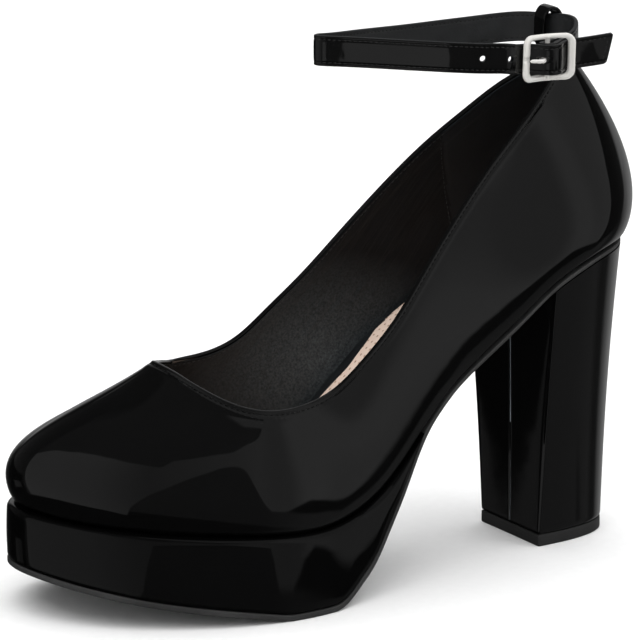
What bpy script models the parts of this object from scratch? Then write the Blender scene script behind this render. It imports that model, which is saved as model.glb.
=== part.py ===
"""Left ankle strap pump with a covered platform and a high block heel.

Design sizes are in millimetres in the shoe's own lay-out: X = 0 at the heel breast and
growing to the back, the toe at -X, the outer (lateral) side at -Y, the inner (medial)
side at +Y, and Z = 0 on the floor.  place() moves them to the part's frame in metres,
whose origin is the centre of the heel tread on the floor.
"""

import math

import bmesh
import bpy
import numpy as np
from mathutils import Matrix, Vector

# ---------------------------------------------------------------- driving sizes (mm)
MM = 0.001
ORIGIN_X = 17.0          # centre of the heel tread in the lay-out
WALL = 1.8               # upper: patent, stiffener and lining together
GAP = 0.3                # free space between neighbours
PLATFORM_OUT = 2.2       # platform and outsole stand this far outside the feather edge
SHANK_OUT = 0.3          # and this far along the shank and the heel seat
OUTSOLE_FORE = 2.2       # outsole thickness under the platform
INSOLE_INSET = WALL + 0.6
LIFT = 4.4               # heel tread thickness
STRAP_T = 1.8            # ankle strap thickness
STRAP_H = 10.8           # ankle strap height
HOLE_R = 1.1             # punched hole radius
HOLES = (-22.8, -12.9, 0.0, 14.2)   # along the strap, from the prong's hole
FRAME_L = 18.8           # buckle frame, bar centre to bar centre along the strap
FRAME_H = 14.6           # and across it
FRAME_CORNER = 2.6
BAR_R = 1.05             # radius of the frame's wire
CENTRE_R = 0.9           # radius of the centre bar
PRONG_R = 0.8
LOOP_W = 6.4             # back loop: width of its band
LOOP_T = 1.3             # and its thickness

STATIONS = 112           # round the upper
ROWS = 12                # up the upper

# A row for each section of the last, from the toe tip to the back of the heel.
# x, lat, med: feather edge.  tx, tlat, tmed, tz: top line, with its height on the outer
# side; back, rise: how much further back and higher it is on the inner side.  out0, up0:
# how the wall leaves the feather edge.  out1, down1: how it meets the top line.
SECTIONS = (
    # x      lat    med    tx      back tlat   tmed   tz     rise out0  up0   out1  down1
    (-193.5, 13.0, 13.0, -146.9, 0.0, 1.5, 1.5, 86.6, 0.0, 14.1, 27.3, 21.8, 13.1),
    (-191.8, 4.0, 22.0, -146.6, 2.2, -3.0, 5.5, 86.2, -0.9, 13.7, 26.6, 20.1, 15.3),
    (-187.3, -5.5, 30.5, -145.2, 4.1, -8.5, 10.8, 85.0, -1.4, 12.9, 25.3, 17.7, 17.2),
    (-179.8, -16.0, 37.3, -142.8, 5.5, -14.5, 16.8, 82.7, -0.9, 11.0, 23.3, 15.4, 17.0),
    (-168.5, -25.5, 41.5, -139.0, 5.6, -20.5, 22.5, 79.7, 0.2, 8.7, 20.8, 13.4, 15.5),
    (-154.0, -34.0, 43.5, -133.5, 4.9, -26.5, 27.9, 76.4, 1.6, 6.2, 18.3, 11.8, 13.4),
    (-138.0, -40.5, 43.3, -126.5, 3.2, -31.3, 31.9, 74.0, 2.4, 4.1, 16.3, 10.3, 11.6),
    (-122.0, -43.5, 41.5, -118.0, 1.3, -33.8, 34.0, 73.0, 3.0, 2.8, 15.0, 9.0, 11.0),
    (-106.0, -43.3, 38.5, -107.0, 0.0, -34.2, 34.0, 73.8, 3.0, 2.6, 15.0, 7.5, 12.5),
    (-90.0, -40.0, 35.3, -95.0, 0.0, -33.6, 33.5, 77.7, 3.0, 2.5, 15.0, 6.5, 13.5),
    (-74.0, -36.5, 33.0, -83.0, 0.0, -33.0, 33.0, 86.2, 3.0, 2.5, 14.5, 5.5, 14.0),
    (-58.0, -33.3, 31.3, -69.5, 0.0, -31.2, 31.2, 97.5, 3.0, 2.8, 14.0, 5.0, 15.0),
    (-42.0, -31.0, 30.0, -55.0, 0.0, -27.7, 27.7, 112.5, 3.0, 3.0, 13.5, 5.0, 16.0),
    (-26.0, -29.8, 29.2, -40.0, 0.0, -23.8, 23.8, 128.0, 3.0, 3.2, 13.0, 5.5, 17.0),
    (-9.0, -29.3, 28.8, -24.5, 0.0, -19.9, 19.9, 142.3, 3.0, 3.6, 13.0, 6.5, 18.5),
    (7.0, -29.3, 28.8, -10.0, 0.0, -16.0, 16.0, 153.6, 3.0, 4.4, 13.0, 8.5, 20.0),
    (20.0, -27.0, 26.8, 2.3, 0.0, -12.2, 12.2, 163.3, 2.3, 6.2, 13.0, 11.5, 22.0),
    (30.5, -21.5, 21.3, 10.8, 0.0, -8.3, 8.3, 169.9, 1.2, 9.0, 12.5, 15.0, 24.5),
    (38.0, -12.0, 12.0, 18.0, 0.0, -4.7, 4.7, 175.6, 0.3, 12.5, 12.0, 19.5, 27.0),
    (41.0, 0.0, 0.0, 22.3, 0.0, 0.0, 0.0, 177.2, 0.0, 15.0, 11.5, 23.5, 28.0),
)

# Height of the feather edge along the shoe: toe spring, tread, arch and heel seat.
FEATHER = (
    # x      z
    (-200.0, 38.6), (-192.0, 37.2), (-180.0, 35.6), (-168.0, 34.3), (-155.0, 33.1),
    (-140.0, 31.9), (-124.0, 30.6), (-110.0, 30.0), (-98.0, 30.9), (-88.0, 33.4),
    (-80.0, 37.2), (-73.0, 42.2), (-66.0, 48.4), (-60.0, 54.5), (-54.0, 60.6),
    (-49.0, 65.5), (-42.0, 71.2), (-36.0, 75.3), (-29.0, 79.8), (-20.0, 85.6),
    (-11.0, 91.8), (-2.0, 98.4), (7.0, 103.3), (18.0, 107.2), (30.0, 109.2), (44.0, 109.7),
)

# Underside of the outsole along the shoe, flat on the floor under the tread.
UNDERSIDE = (
    # x      z
    (-200.0, 16.6), (-194.0, 14.8), (-188.0, 13.1), (-181.0, 11.4), (-170.0, 8.8),
    (-158.0, 6.5), (-145.0, 4.3), (-134.0, 2.5), (-126.0, 1.0), (-120.0, 0.0),
    (-111.0, 0.0), (-102.0, 0.0), (-96.0, 2.0), (-90.0, 6.6), (-83.0, 13.2),
    (-76.0, 23.5), (-68.0, 36.0), (-62.0, 46.6), (-57.0, 54.4), (-51.0, 61.2),
    (-44.0, 67.6), (-36.0, 73.3), (-29.0, 77.8), (-20.0, 83.6), (-11.0, 90.0),
    (-2.0, 96.6), (7.0, 101.4), (18.0, 105.4), (30.0, 107.4), (44.0, 107.9),
)
PLATFORM_END = -59.0     # where the platform's wedge runs out under the waist

# Insole thickness along the shoe: a padded ball and a built-up arch.
INSOLE_THICK = (
    # x      t
    (-200.0, 2.6), (-150.0, 3.0), (-110.0, 4.0), (-75.0, 5.6), (-40.0, 5.4),
    (0.0, 4.0), (44.0, 3.4),
)

# Heel: half width and depth of its D-shaped plan at the tread, back and breast lines.
TREAD_HALF = 18.7
TREAD_DEPTH = 36.0
TREAD_POWER = 2.5
BREAST_TOP_X = -1.0
HEEL_WAIST = 0.8         # how far the sides draw in, half way up

# Middle line of the ankle strap, from where it leaves the buckle's centre bar, round the
# back and through the loop, along the inner side to the front bend and back outside.
STRAP_LINE = (
    # x      y      z
    (4.0, -26.6, 183.2), (9.6, -23.4, 184.4), (14.0, -18.4, 185.6),
    (16.3, -12.5, 186.4), (15.8, -6.0, 186.1), (14.4, 0.0, 185.3),
    (13.0, 6.4, 184.8), (10.0, 12.0, 184.3), (4.0, 15.6, 183.8), (-6.0, 16.8, 183.6),
    (-20.0, 16.0, 183.9), (-40.0, 12.6, 184.9), (-62.0, 7.4, 186.6),
    (-75.6, 3.0, 187.9),
)
FRONT_BEND = (-80.2, 0.2, 188.4)   # centre of the tight bend at the front
FRONT_R = 1.9
STRAP_NEAR = (
    # x      y      z
    (-71.0, -5.4, 187.5), (-56.0, -13.4, 186.3), (-41.5, -21.4, 185.2),
    (-27.0, -27.0, 184.1), (-21.0, -28.8, 183.6),
)

# Buckle: middle of the frame, the strap's run at that place, and its lean.
BUCKLE_AT = (-6.4, -30.4, 182.7)
BUCKLE_TURN = -4.0       # degrees: strap's run about Z, from +X
BUCKLE_DIP = -1.5        # degrees: the run falls towards the back
FRAME_BOW = 1.6          # the frame's ends stand this much further out than its bar
TIP_RISE = 1.7           # the free tip lifts by this much
# The strap's run through the buckle: s along, n outwards from the centre bar.
BUCKLE_RUN = (
    # s      n
    (-12.0, -1.0), (-9.4, -1.0), (-6.9, -0.2), (-4.5, 2.1), (-2.3, 4.0), (0.0, 4.7),
    (2.3, 4.0), (4.6, 2.0), (7.0, -0.3), (9.6, -1.2), (12.5, -1.2), (16.0, -0.8),
    (21.0, -0.2), (26.6, 0.3),
)
# The short end: from its stitched tail, round the centre bar and away to the back.
FOLD_TAIL = (
    # s      n
    (9.4, -7.7), (7.0, -6.6), (4.6, -5.0), (2.3, -3.2),
)
FOLD_OUT = (
    # s      n
    (2.4, 0.9), (4.6, -1.2), (7.4, -3.0),
)


# ---------------------------------------------------------------- helpers
def place(x, y, z):
    """Lay-out millimetres to the part's frame in metres."""
    return ((x - ORIGIN_X) * MM, y * MM, z * MM)


def spline(knots, values, periodic):
    """Second derivatives of a cubic spline: natural, or closed over the last knot."""
    k = np.asarray(knots, float)
    v = np.asarray(values, float)
    n = len(v)
    a = np.zeros((n, n))
    b = np.zeros(v.shape)
    if periodic:
        h = np.diff(k)
        for i in range(n):
            hm, hp = h[i - 1], h[i]
            a[i, i - 1] += hm
            a[i, i] += 2 * (hm + hp)
            a[i, (i + 1) % n] += hp
            b[i] = 6 * ((v[(i + 1) % n] - v[i]) / hp - (v[i] - v[i - 1]) / hm)
    else:
        a[0, 0] = a[-1, -1] = 1.0
        h = np.diff(k)
        for i in range(1, n - 1):
            a[i, i - 1], a[i, i], a[i, i + 1] = h[i - 1], 2 * (h[i - 1] + h[i]), h[i]
            b[i] = 6 * ((v[i + 1] - v[i]) / h[i] - (v[i] - v[i - 1]) / h[i - 1])
    return np.linalg.solve(a, b)


def at(knots, values, seconds, u, periodic=False):
    """The spline's value and first derivative at u."""
    k = np.asarray(knots, float)
    v = np.asarray(values, float)
    u = np.asarray(u, float)
    if periodic:
        u = np.mod(u - k[0], k[-1] - k[0]) + k[0]
        v = np.concatenate([v, v[:1]])
        seconds = np.concatenate([seconds, seconds[:1]])
    i = np.clip(np.searchsorted(k, u, side="right") - 1, 0, len(k) - 2)
    h = k[i + 1] - k[i]
    p, q = (k[i + 1] - u) / h, (u - k[i]) / h
    if v.ndim > 1:
        h, p, q = h[..., None], p[..., None], q[..., None]
    value = (
        p * v[i] + q * v[i + 1]
        + ((p**3 - p) * seconds[i] + (q**3 - q) * seconds[i + 1]) * h * h / 6
    )
    slope = (v[i + 1] - v[i]) / h + (
        -(3 * p * p - 1) * seconds[i] + (3 * q * q - 1) * seconds[i + 1]
    ) * h / 6
    return value, slope


def height(table):
    """z as a smooth function of x."""
    rows = np.array(table)
    seconds = spline(rows[:, 0], rows[:, 1], False)
    return lambda x: at(rows[:, 0], rows[:, 1], seconds, x)[0]


feather_z = height(FEATHER)
insole_t = height(INSOLE_THICK)
_under = height(UNDERSIDE)


def underside_z(x):
    """Flat on the floor at the tread, and never under it."""
    x = np.asarray(x, float)
    z = np.maximum(_under(x), 0.0)
    return np.where((x > -120.0) & (x < -102.0), 0.0, z)


def last_spline():
    """One closed run of the sections: the toe tip, the outer side, the heel, the inner side."""
    rows = np.array(SECTIONS)
    lateral = [
        (r[0], r[1], r[3], r[5], r[7], *r[9:]) for r in rows
    ]
    medial = [
        (r[0], r[2], r[3] + r[4], r[6], r[7] + r[8], *r[9:]) for r in rows[-2:0:-1]
    ]
    values = np.array(lateral + medial)
    n = len(rows)
    steps = []
    for a, b in zip(range(n - 1), range(1, n)):
        one = values[b] - values[a]
        other = values[(-b) % len(values)] - values[(-a) % len(values)]
        steps.append(
            sum(math.hypot(d[0], d[1]) + math.hypot(d[2], d[3]) for d in (one, other)) / 4
        )
    knots = np.concatenate([[0.0], np.cumsum(steps + steps[::-1])])
    return knots, values, spline(knots, values, True)


KNOTS, VALUES, SECONDS = last_spline()
ROUND = KNOTS[-1]


def stations(count):
    """Places round the last, evenly spread, the same on both sides."""
    return np.arange(count) * ROUND / count


def feather_line(u):
    """Feather edge points and the outward normals in plan."""
    value, slope = at(KNOTS, VALUES, SECONDS, u, True)
    x, y = value[:, 0], value[:, 1]
    normal = np.stack([slope[:, 1], -slope[:, 0]], 1)
    normal /= np.linalg.norm(normal, axis=1)[:, None]
    return x, y, normal * outward_sign()


def outward_sign():
    _, slope = at(KNOTS, VALUES, SECONDS, np.array([0.0]), True)
    return -1.0 if slope[0, 1] > 0 else 1.0


def upper_surface(u, t):
    """Outer face of the upper: feather edge at t = 0, top line at t = 1."""
    value, _ = at(KNOTS, VALUES, SECONDS, u, True)
    fx, fy, normal = feather_line(u)
    n3 = np.concatenate([normal, np.zeros((len(u), 1))], 1)
    up = np.array([0.0, 0.0, 1.0])
    feather = np.stack([fx, fy, feather_z(fx)], 1)
    top = value[:, 2:5]
    out0, up0, out1, down1 = (value[:, i : i + 1] for i in (5, 6, 7, 8))
    first = feather + out0 * n3 + up0 * up
    second = top + out1 * n3 - down1 * up
    t = np.asarray(t, float)[None, :, None]
    f, a, b, e = (p[:, None, :] for p in (feather, first, second, top))
    return (1 - t) ** 3 * f + 3 * (1 - t) ** 2 * t * a + 3 * (1 - t) * t * t * b + t**3 * e


def outline(count, offset):
    """Plan loop outside (or, negative, inside) the feather edge; offset may follow x."""
    u = stations(count)
    x, y, normal = feather_line(u)
    out = offset(x) if callable(offset) else np.full(len(x), float(offset))
    return x + normal[:, 0] * out, y + normal[:, 1] * out


def sole_out(x):
    """Platform and outsole edge, drawn in along the waist."""
    s = np.clip((np.asarray(x, float) + 84.0) / 32.0, 0, 1)
    s = s * s * (3 - 2 * s)
    return PLATFORM_OUT * (1 - s) + SHANK_OUT * s


def mesh_object(name, points, faces, material, collection, smooth=35.0):
    mesh = bpy.data.meshes.new(name)
    mesh.from_pydata([place(*p) for p in points], [], faces)
    mesh.validate()
    mesh.update()
    obj = bpy.data.objects.new(name, mesh)
    collection.objects.link(obj)
    if material:
        mesh.materials.append(material)
    if smooth:
        mesh.shade_smooth()
        mesh.set_sharp_from_angle(angle=math.radians(smooth))
    return obj


def face_out(obj):
    """Makes the faces of a closed mesh point outwards."""
    work = bmesh.new()
    work.from_mesh(obj.data)
    bmesh.ops.recalc_face_normals(work, faces=work.faces)
    if work.calc_volume(signed=True) < 0:
        bmesh.ops.reverse_faces(work, faces=work.faces)
    work.to_mesh(obj.data)
    work.free()
    obj.data.update()
    return obj


def ring_solid(name, loops, material, collection, smooth=35.0):
    """Closed plan loops stacked upwards, capped across between the two sides."""
    count = len(loops[0])
    points = [tuple(p) for loop in loops for p in loop]
    faces = []
    for k in range(len(loops) - 1):
        a, b = k * count, (k + 1) * count
        for i in range(count):
            j = (i + 1) % count
            faces.append((a + i, a + j, b + j, b + i))
    for base in (0, (len(loops) - 1) * count):
        half = count // 2
        for i in range(half):
            lat, lat2 = base + i, base + i + 1
            med, med2 = base + (count - i) % count, base + count - i - 1
            face = [lat, lat2, med2, med]
            unique = list(dict.fromkeys(face))
            if len(unique) > 2:
                faces.append(tuple(unique))
    return face_out(mesh_object(name, points, faces, material, collection, smooth))


def slab_solid(name, loops, material, collection, smooth=35.0):
    """Open loops that run from the outer side round one end to the inner side, stacked,
    capped across, with a flat end wall between their two ends."""
    count = len(loops[0])
    points = [tuple(p) for loop in loops for p in loop]
    faces = []
    for k in range(len(loops) - 1):
        a, b = k * count, (k + 1) * count
        for i in range(count - 1):
            faces.append((a + i, a + i + 1, b + i + 1, b + i))
    for base in (0, (len(loops) - 1) * count):
        for i in range(count // 2):
            face = [base + i, base + i + 1, base + count - 2 - i, base + count - 1 - i]
            unique = list(dict.fromkeys(face))
            if len(unique) > 2:
                faces.append(tuple(unique))
    for k in range(len(loops) - 1):
        a, b = k * count, (k + 1) * count
        faces.append((a, b, b + count - 1, a + count - 1))
    return face_out(mesh_object(name, points, faces, material, collection, smooth))


def ribbon(name, line, ups, half, thick, closed, material, collection):
    """A flat band along a line, given its thickness by Solidify."""
    line, ups = np.asarray(line, float), np.asarray(ups, float)
    n = len(line)
    points = [tuple(p - u * half) for p, u in zip(line, ups)]
    points += [tuple(p + u * half) for p, u in zip(line, ups)]
    faces = [(i, i + 1, n + i + 1, n + i) for i in range(n - 1)]
    if closed:
        faces.append((n - 1, 0, n, 2 * n - 1))
    obj = mesh_object(name, points, faces, material, collection, 40.0)
    shell = obj.modifiers.new("thickness", "SOLIDIFY")
    shell.thickness = thick * MM
    shell.offset = 0.0
    shell.use_even_offset = True
    shell.use_rim = True
    return obj


def smooth_run(points, step):
    """Points every step along one smooth curve through the given ones."""
    p = np.asarray(points, float)
    s = np.concatenate([[0.0], np.cumsum(np.linalg.norm(np.diff(p, axis=0), axis=1))])
    seconds = spline(s, p, False)
    fine = at(s, p, seconds, np.linspace(0, s[-1], 1200))[0]
    length = np.concatenate([[0.0], np.cumsum(np.linalg.norm(np.diff(fine, axis=0), axis=1))])
    count = max(2, int(round(length[-1] / step)) + 1)
    want = np.linspace(0, length[-1], count)
    return np.stack([np.interp(want, length, fine[:, i]) for i in range(3)], 1)


def material(name, colour, roughness, metallic=0.0, coat=0.0):
    mat = bpy.data.materials.new(name)
    mat.use_nodes = True
    shader = mat.node_tree.nodes["Principled BSDF"]
    shader.inputs["Base Color"].default_value = (*colour, 1.0)
    shader.inputs["Roughness"].default_value = roughness
    shader.inputs["Metallic"].default_value = metallic
    shader.inputs["Coat Weight"].default_value = coat
    mat.diffuse_color = (*colour, 1.0)
    return mat


def union(target, other):
    """Joins other into target, now."""
    join = target.modifiers.new("join", "BOOLEAN")
    join.operation = "UNION"
    join.solver = "EXACT"
    join.object = other
    bpy.context.view_layer.update()
    graph = bpy.context.evaluated_depsgraph_get()
    mesh = bpy.data.meshes.new_from_object(target.evaluated_get(graph))
    target.modifiers.clear()
    target.data = mesh
    bpy.data.objects.remove(other, do_unlink=True)


# ---------------------------------------------------------------- buckle's own axes
def buckle_axes():
    turn, dip = math.radians(BUCKLE_TURN), math.radians(BUCKLE_DIP)
    along = Vector((math.cos(turn) * math.cos(dip), math.sin(turn) * math.cos(dip), math.sin(dip)))
    out = Vector((math.sin(turn), -math.cos(turn), 0.0))
    up = out.cross(along).normalized()
    if up.z < 0:
        up = -up
    return np.array(along), np.array(out), np.array(up)


ALONG, OUT, UP = buckle_axes()


def in_buckle(s, n, h=0.0):
    """A place in the buckle's own axes: along the strap, outwards, up."""
    return np.array(BUCKLE_AT) + ALONG * s + OUT * n + UP * h


def strap_path():
    """The whole strap's middle line and its upward directions, tail to tip."""
    tail = [in_buckle(s, n) for s, n in FOLD_TAIL]
    fold_r = CENTRE_R + GAP + STRAP_T / 2 + 0.1
    bend = [
        in_buckle(-fold_r * math.sin(a), -fold_r * math.cos(a))
        for a in np.linspace(math.radians(-20), math.radians(200), 12)
    ]
    away = [in_buckle(s, n) for s, n in FOLD_OUT]
    cx, cy, cz = FRONT_BEND
    front = [
        (cx - FRONT_R * math.sin(a), cy + FRONT_R * math.cos(a), cz)
        for a in np.linspace(math.radians(12), math.radians(152), 9)
    ]
    through = [
        in_buckle(s, n, TIP_RISE * max(0.0, (s - 6.0) / 20.6) ** 1.3) for s, n in BUCKLE_RUN
    ]
    near = list(STRAP_NEAR) + through
    pieces = [
        smooth_run(tail + bend[:1], 2.2)[:-1],
        np.array(bend[:-1]),
        smooth_run(bend[-1:] + away + list(STRAP_LINE) + front[:1], 3.6)[:-1],
        np.array(front[:-1]),
        smooth_run(front[-1:] + near, 2.2),
    ]
    line = np.concatenate(pieces)
    s = np.concatenate([[0.0], np.cumsum(np.linalg.norm(np.diff(line, axis=0), axis=1))])
    tangent = np.gradient(line, s, axis=0)
    tangent /= np.linalg.norm(tangent, axis=1)[:, None]
    up = np.array([0.0, 0.0, 1.0]) - tangent * tangent[:, 2:3]
    up /= np.linalg.norm(up, axis=1)[:, None]
    return line, up


def cut(target, cutter, name):
    hole = target.modifiers.new(name, "BOOLEAN")
    hole.operation = "DIFFERENCE"
    hole.solver = "EXACT"
    hole.object = cutter


def cutter_of(obj, collection):
    for c in list(obj.users_collection):
        c.objects.unlink(obj)
    collection.objects.link(obj)
    obj.hide_render = True
    obj.display_type = "WIRE"
    return obj


# ---------------------------------------------------------------- the pieces
def make_upper(mat, col):
    u = stations(STATIONS)
    grid = upper_surface(u, np.linspace(0, 1, ROWS + 1))
    points = grid.reshape(-1, 3)
    m = ROWS + 1
    faces = []
    for i in range(STATIONS):
        j = (i + 1) % STATIONS
        for k in range(ROWS):
            faces.append((i * m + k, j * m + k, j * m + k + 1, i * m + k + 1))
    obj = mesh_object("upper", points, faces, mat, col)
    # the outer face must point away from the foot before the wall grows inwards
    poly = obj.data.polygons[0]
    if poly.normal.x > 0:
        obj.data.flip_normals()
    wall = obj.modifiers.new("wall", "SOLIDIFY")
    wall.thickness = WALL * MM
    wall.offset = -1.0
    wall.use_even_offset = True
    wall.use_rim = True
    return obj


def sole_loops(count, levels):
    """levels: (extra offset, height function of x) pairs, bottom to top."""
    loops = []
    for extra, z_of in levels:
        x, y = outline(count, lambda v, e=extra: sole_out(v) + e)
        loops.append(np.stack([x, y, z_of(x)], 1))
    return loops


def outsole_top(x):
    """Thin sheet: its fore part is level with the platform's underside."""
    fore = underside_z(x) + OUTSOLE_FORE
    x = np.asarray(x, float)
    steep = np.clip((x + 98.0) / 20.0, 0, 1)
    fore = fore + steep * 0.9
    shank = feather_z(x) - GAP
    s = np.clip((x - PLATFORM_END + 2.0) / 5.0, 0, 1)
    s = s * s * (3 - 2 * s)
    return np.minimum(fore * (1 - s) + shank * s, shank)


def make_outsole(mat, col):
    loops = sole_loops(120, (
        (-0.5, underside_z),
        (0.0, lambda x: underside_z(x) + 0.4),
        (0.0, lambda x: outsole_top(x)),
    ))
    return ring_solid("outsole", loops, mat, col, 30.0)


def make_platform(mat, col):
    count = 120
    base = lambda x: outsole_top(x) + GAP
    top = lambda x: feather_z(x) - GAP

    def level(extra, z_of):
        x, y = outline(count, lambda v, e=extra: sole_out(v) + e)
        z = z_of(x)
        half = count // 2
        lat = [(x[i], y[i], z[i]) for i in range(0, half)]
        med = [(x[-i], y[-i], z[-i]) for i in range(1, half)]
        lat = [p for p in lat if p[0] < PLATFORM_END - 0.5]
        med = [p for p in med if p[0] < PLATFORM_END - 0.5]
        n = min(len(lat), len(med) + 1)
        lat, med = lat[:n], med[: n - 1]
        for side in (lat, med):
            a = np.array(side[-1])
            index = len(side) if side is lat else count - len(side) - 1
            b = np.array((x[index], y[index], z[index]))
            f = (PLATFORM_END - a[0]) / (b[0] - a[0])
            p = a + (b - a) * f
            side.append((PLATFORM_END, p[1], float(z_of(np.array([PLATFORM_END]))[0])))
        return lat[::-1] + med

    def between(f):
        return lambda x: base(x) * (1 - f) + top(x) * f

    def below_top(d):
        return lambda x: np.maximum(top(x) - d, base(x) * 0.35 + top(x) * 0.65)

    loops = [
        level(-1.2, base),
        level(-0.3, lambda x: base(x) + np.minimum(1.4, 0.2 * (top(x) - base(x)))),
        level(0.0, between(0.35)),
        level(0.0, below_top(3.6)),
        level(-0.45, below_top(1.5)),
        level(-1.5, below_top(0.35)),
        level(-3.2, top),
    ]
    return slab_solid("platform", loops, mat, col, 30.0)


def make_insole(mat, col):
    loops = []
    for inset, z_of in (
        (0.9, lambda x: feather_z(x)),
        (0.3, lambda x: feather_z(x) + 1.0),
        (0.3, lambda x: feather_z(x) + insole_t(x) - 0.8),
        (1.3, lambda x: feather_z(x) + insole_t(x)),
    ):
        x, y = outline(96, -(INSOLE_INSET + inset))
        loops.append(np.stack([x, y, z_of(x)], 1))
    return ring_solid("insole", loops, mat, col, 30.0)


def tread_plan(count, shrink=0.0):
    """D-shaped plan of the heel at the tread, outer front corner to inner front corner."""
    points = []
    for a in np.linspace(0, math.pi, count):
        c, s = math.cos(a), math.sin(a)
        y = -TREAD_HALF * math.copysign(abs(c) ** (2 / TREAD_POWER), c)
        x = TREAD_DEPTH * abs(s) ** (2 / TREAD_POWER)
        points.append((x, y))
    p = np.array(points)
    centre = np.array([TREAD_DEPTH / 2, 0.0])
    scale = 1 - shrink / np.array([TREAD_DEPTH / 2, TREAD_HALF])
    return centre + (p - centre) * scale


def seat_plan(count):
    """The heel seat's edge at the top of the heel, in the same order and number."""
    u = np.linspace(0, ROUND / 2, 2000)
    x, y, normal = feather_line(u)
    x, y = x + normal[:, 0] * SHANK_OUT, y + normal[:, 1] * SHANK_OUT
    keep = x > BREAST_TOP_X
    lat = np.stack([x[keep], y[keep]], 1)
    u = np.linspace(ROUND / 2, ROUND, 2000)
    x, y, normal = feather_line(u)
    x, y = x + normal[:, 0] * SHANK_OUT, y + normal[:, 1] * SHANK_OUT
    keep = x > BREAST_TOP_X
    med = np.stack([x[keep], y[keep]], 1)
    halves = []
    for side in (lat, med):
        s = np.concatenate([[0.0], np.cumsum(np.linalg.norm(np.diff(side, axis=0), axis=1))])
        want = np.linspace(0, s[-1], count // 2 + 1)
        halves.append(np.stack([np.interp(want, s, side[:, i]) for i in (0, 1)], 1))
    plan = np.concatenate([halves[0], halves[1][1:]])
    plan[0, 0] = plan[-1, 0] = BREAST_TOP_X
    return plan


def even(plan, count):
    """The same plan with its points spread evenly on each half."""
    half = len(plan) // 2
    out = []
    for side in (plan[: half + 1], plan[half:]):
        s = np.concatenate([[0.0], np.cumsum(np.linalg.norm(np.diff(side, axis=0), axis=1))])
        want = np.linspace(0, s[-1], count // 2 + 1)
        out.append(np.stack([np.interp(want, s, side[:, i]) for i in (0, 1)], 1))
    return np.concatenate([out[0], out[1][1:]])


HEEL_POINTS = 48


def make_heel(mat, col):
    low = even(tread_plan(401), HEEL_POINTS)
    high = seat_plan(HEEL_POINTS)
    top_z = underside_z(high[:, 0]) - GAP
    loops = []
    for f in (0.0, 0.004, 0.12, 0.25, 0.4, 0.55, 0.7, 0.85, 1.0):
        plan = low * (1 - f) + high * f
        draw = HEEL_WAIST * math.sin(math.pi * f)
        inward = plan - np.array([14.0, 0.0])
        inward /= np.linalg.norm(inward, axis=1)[:, None]
        side = np.abs(plan[:, 1:2]) > 0.0
        plan = plan - inward * draw * side
        plan[0, 0] = plan[-1, 0] = BREAST_TOP_X * f
        if f == 0.0:
            plan = tread_low(plan)
        z = (LIFT + GAP) * (1 - f) + top_z * f
        loops.append(np.concatenate([plan, z[:, None]], 1))
    return slab_solid("heel", loops, mat, col, 40.0)


def tread_low(plan):
    centre = np.array([TREAD_DEPTH / 2, 0.0])
    return centre + (plan - centre) * 0.988


def make_top_lift(mat, col):
    plan = even(tread_plan(401), HEEL_POINTS)
    centre = np.array([TREAD_DEPTH / 2, 0.0])
    loops = []
    for scale, z in ((0.975, 0.0), (0.99, 0.5), (0.995, LIFT - 0.3), (0.985, LIFT)):
        p = centre + (plan - centre) * scale
        loops.append(np.concatenate([p, np.full((len(p), 1), z)], 1))
    return slab_solid("top_lift", loops, mat, col, 30.0)


def make_strap(mat, col, cutters):
    line, up = strap_path()
    obj = ribbon("ankle_strap", line, up, STRAP_H / 2, STRAP_T, False, mat, col)
    # the slanted tip: its lower corner is cut back
    count = len(line)
    mesh = obj.data
    for k, back in ((count - 1, 3.6), (count - 2, 1.8), (count - 3, 0.7)):
        v = mesh.vertices[k]
        step = Vector(place(*line[k])) - Vector(place(*line[k - 1]))
        v.co = v.co - step.normalized() * back * MM
    mesh.update()
    # punched holes through the long end only, along the strap from the prong's hole
    run = np.concatenate([[0.0], np.cumsum(np.linalg.norm(np.diff(line, axis=0), axis=1))])
    start = len(line) // 2
    target = in_buckle(-2.6, 2.6)
    near = start + int(np.argmin(np.linalg.norm(line[start:] - target, axis=1)))
    for number, along in enumerate(HOLES):
        s = run[near] + along
        p = np.array([np.interp(s, run, line[:, i]) for i in range(3)])
        q = np.array([np.interp(s + 0.5, run, line[:, i]) for i in range(3)])
        d = (q - p) / np.linalg.norm(q - p)
        axis = Vector(np.cross(d, [0.0, 0.0, 1.0])).normalized()
        radius, depth = HOLE_R, 2.6
        if along == 0.0:
            p, axis, radius, depth = in_buckle(-3.0, 3.4), Vector(OUT), 1.4, 6.0
        bpy.ops.mesh.primitive_cylinder_add(
            vertices=12, radius=radius * MM, depth=depth * MM,
            location=place(*p),
            rotation=axis.to_track_quat("Z", "Y").to_euler(),
        )
        punch = bpy.context.object
        punch.name = f"punch_{number}"
        if along == 0.0:
            # the prong's hole is worn long
            rot = Matrix((ALONG, UP, OUT)).transposed()
            punch.rotation_euler = rot.to_euler()
            punch.scale = (1.55, 0.85, 1.0)
        cutter_of(punch, cutters)
        cut(obj, punch, punch.name)
    # slot in the fold, where the prong swings on the centre bar
    bpy.ops.mesh.primitive_cube_add(size=1.0, location=place(*in_buckle(-0.6, 0.0)))
    slot = bpy.context.object
    slot.name = "prong_slot"
    slot.scale = (7.6 * MM, 6.0 * MM, 3.4 * MM)
    rot = Matrix((ALONG, OUT, UP)).transposed()
    slot.rotation_euler = rot.to_euler()
    cutter_of(slot, cutters)
    cut(obj, slot, "prong_slot")
    return obj


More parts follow.
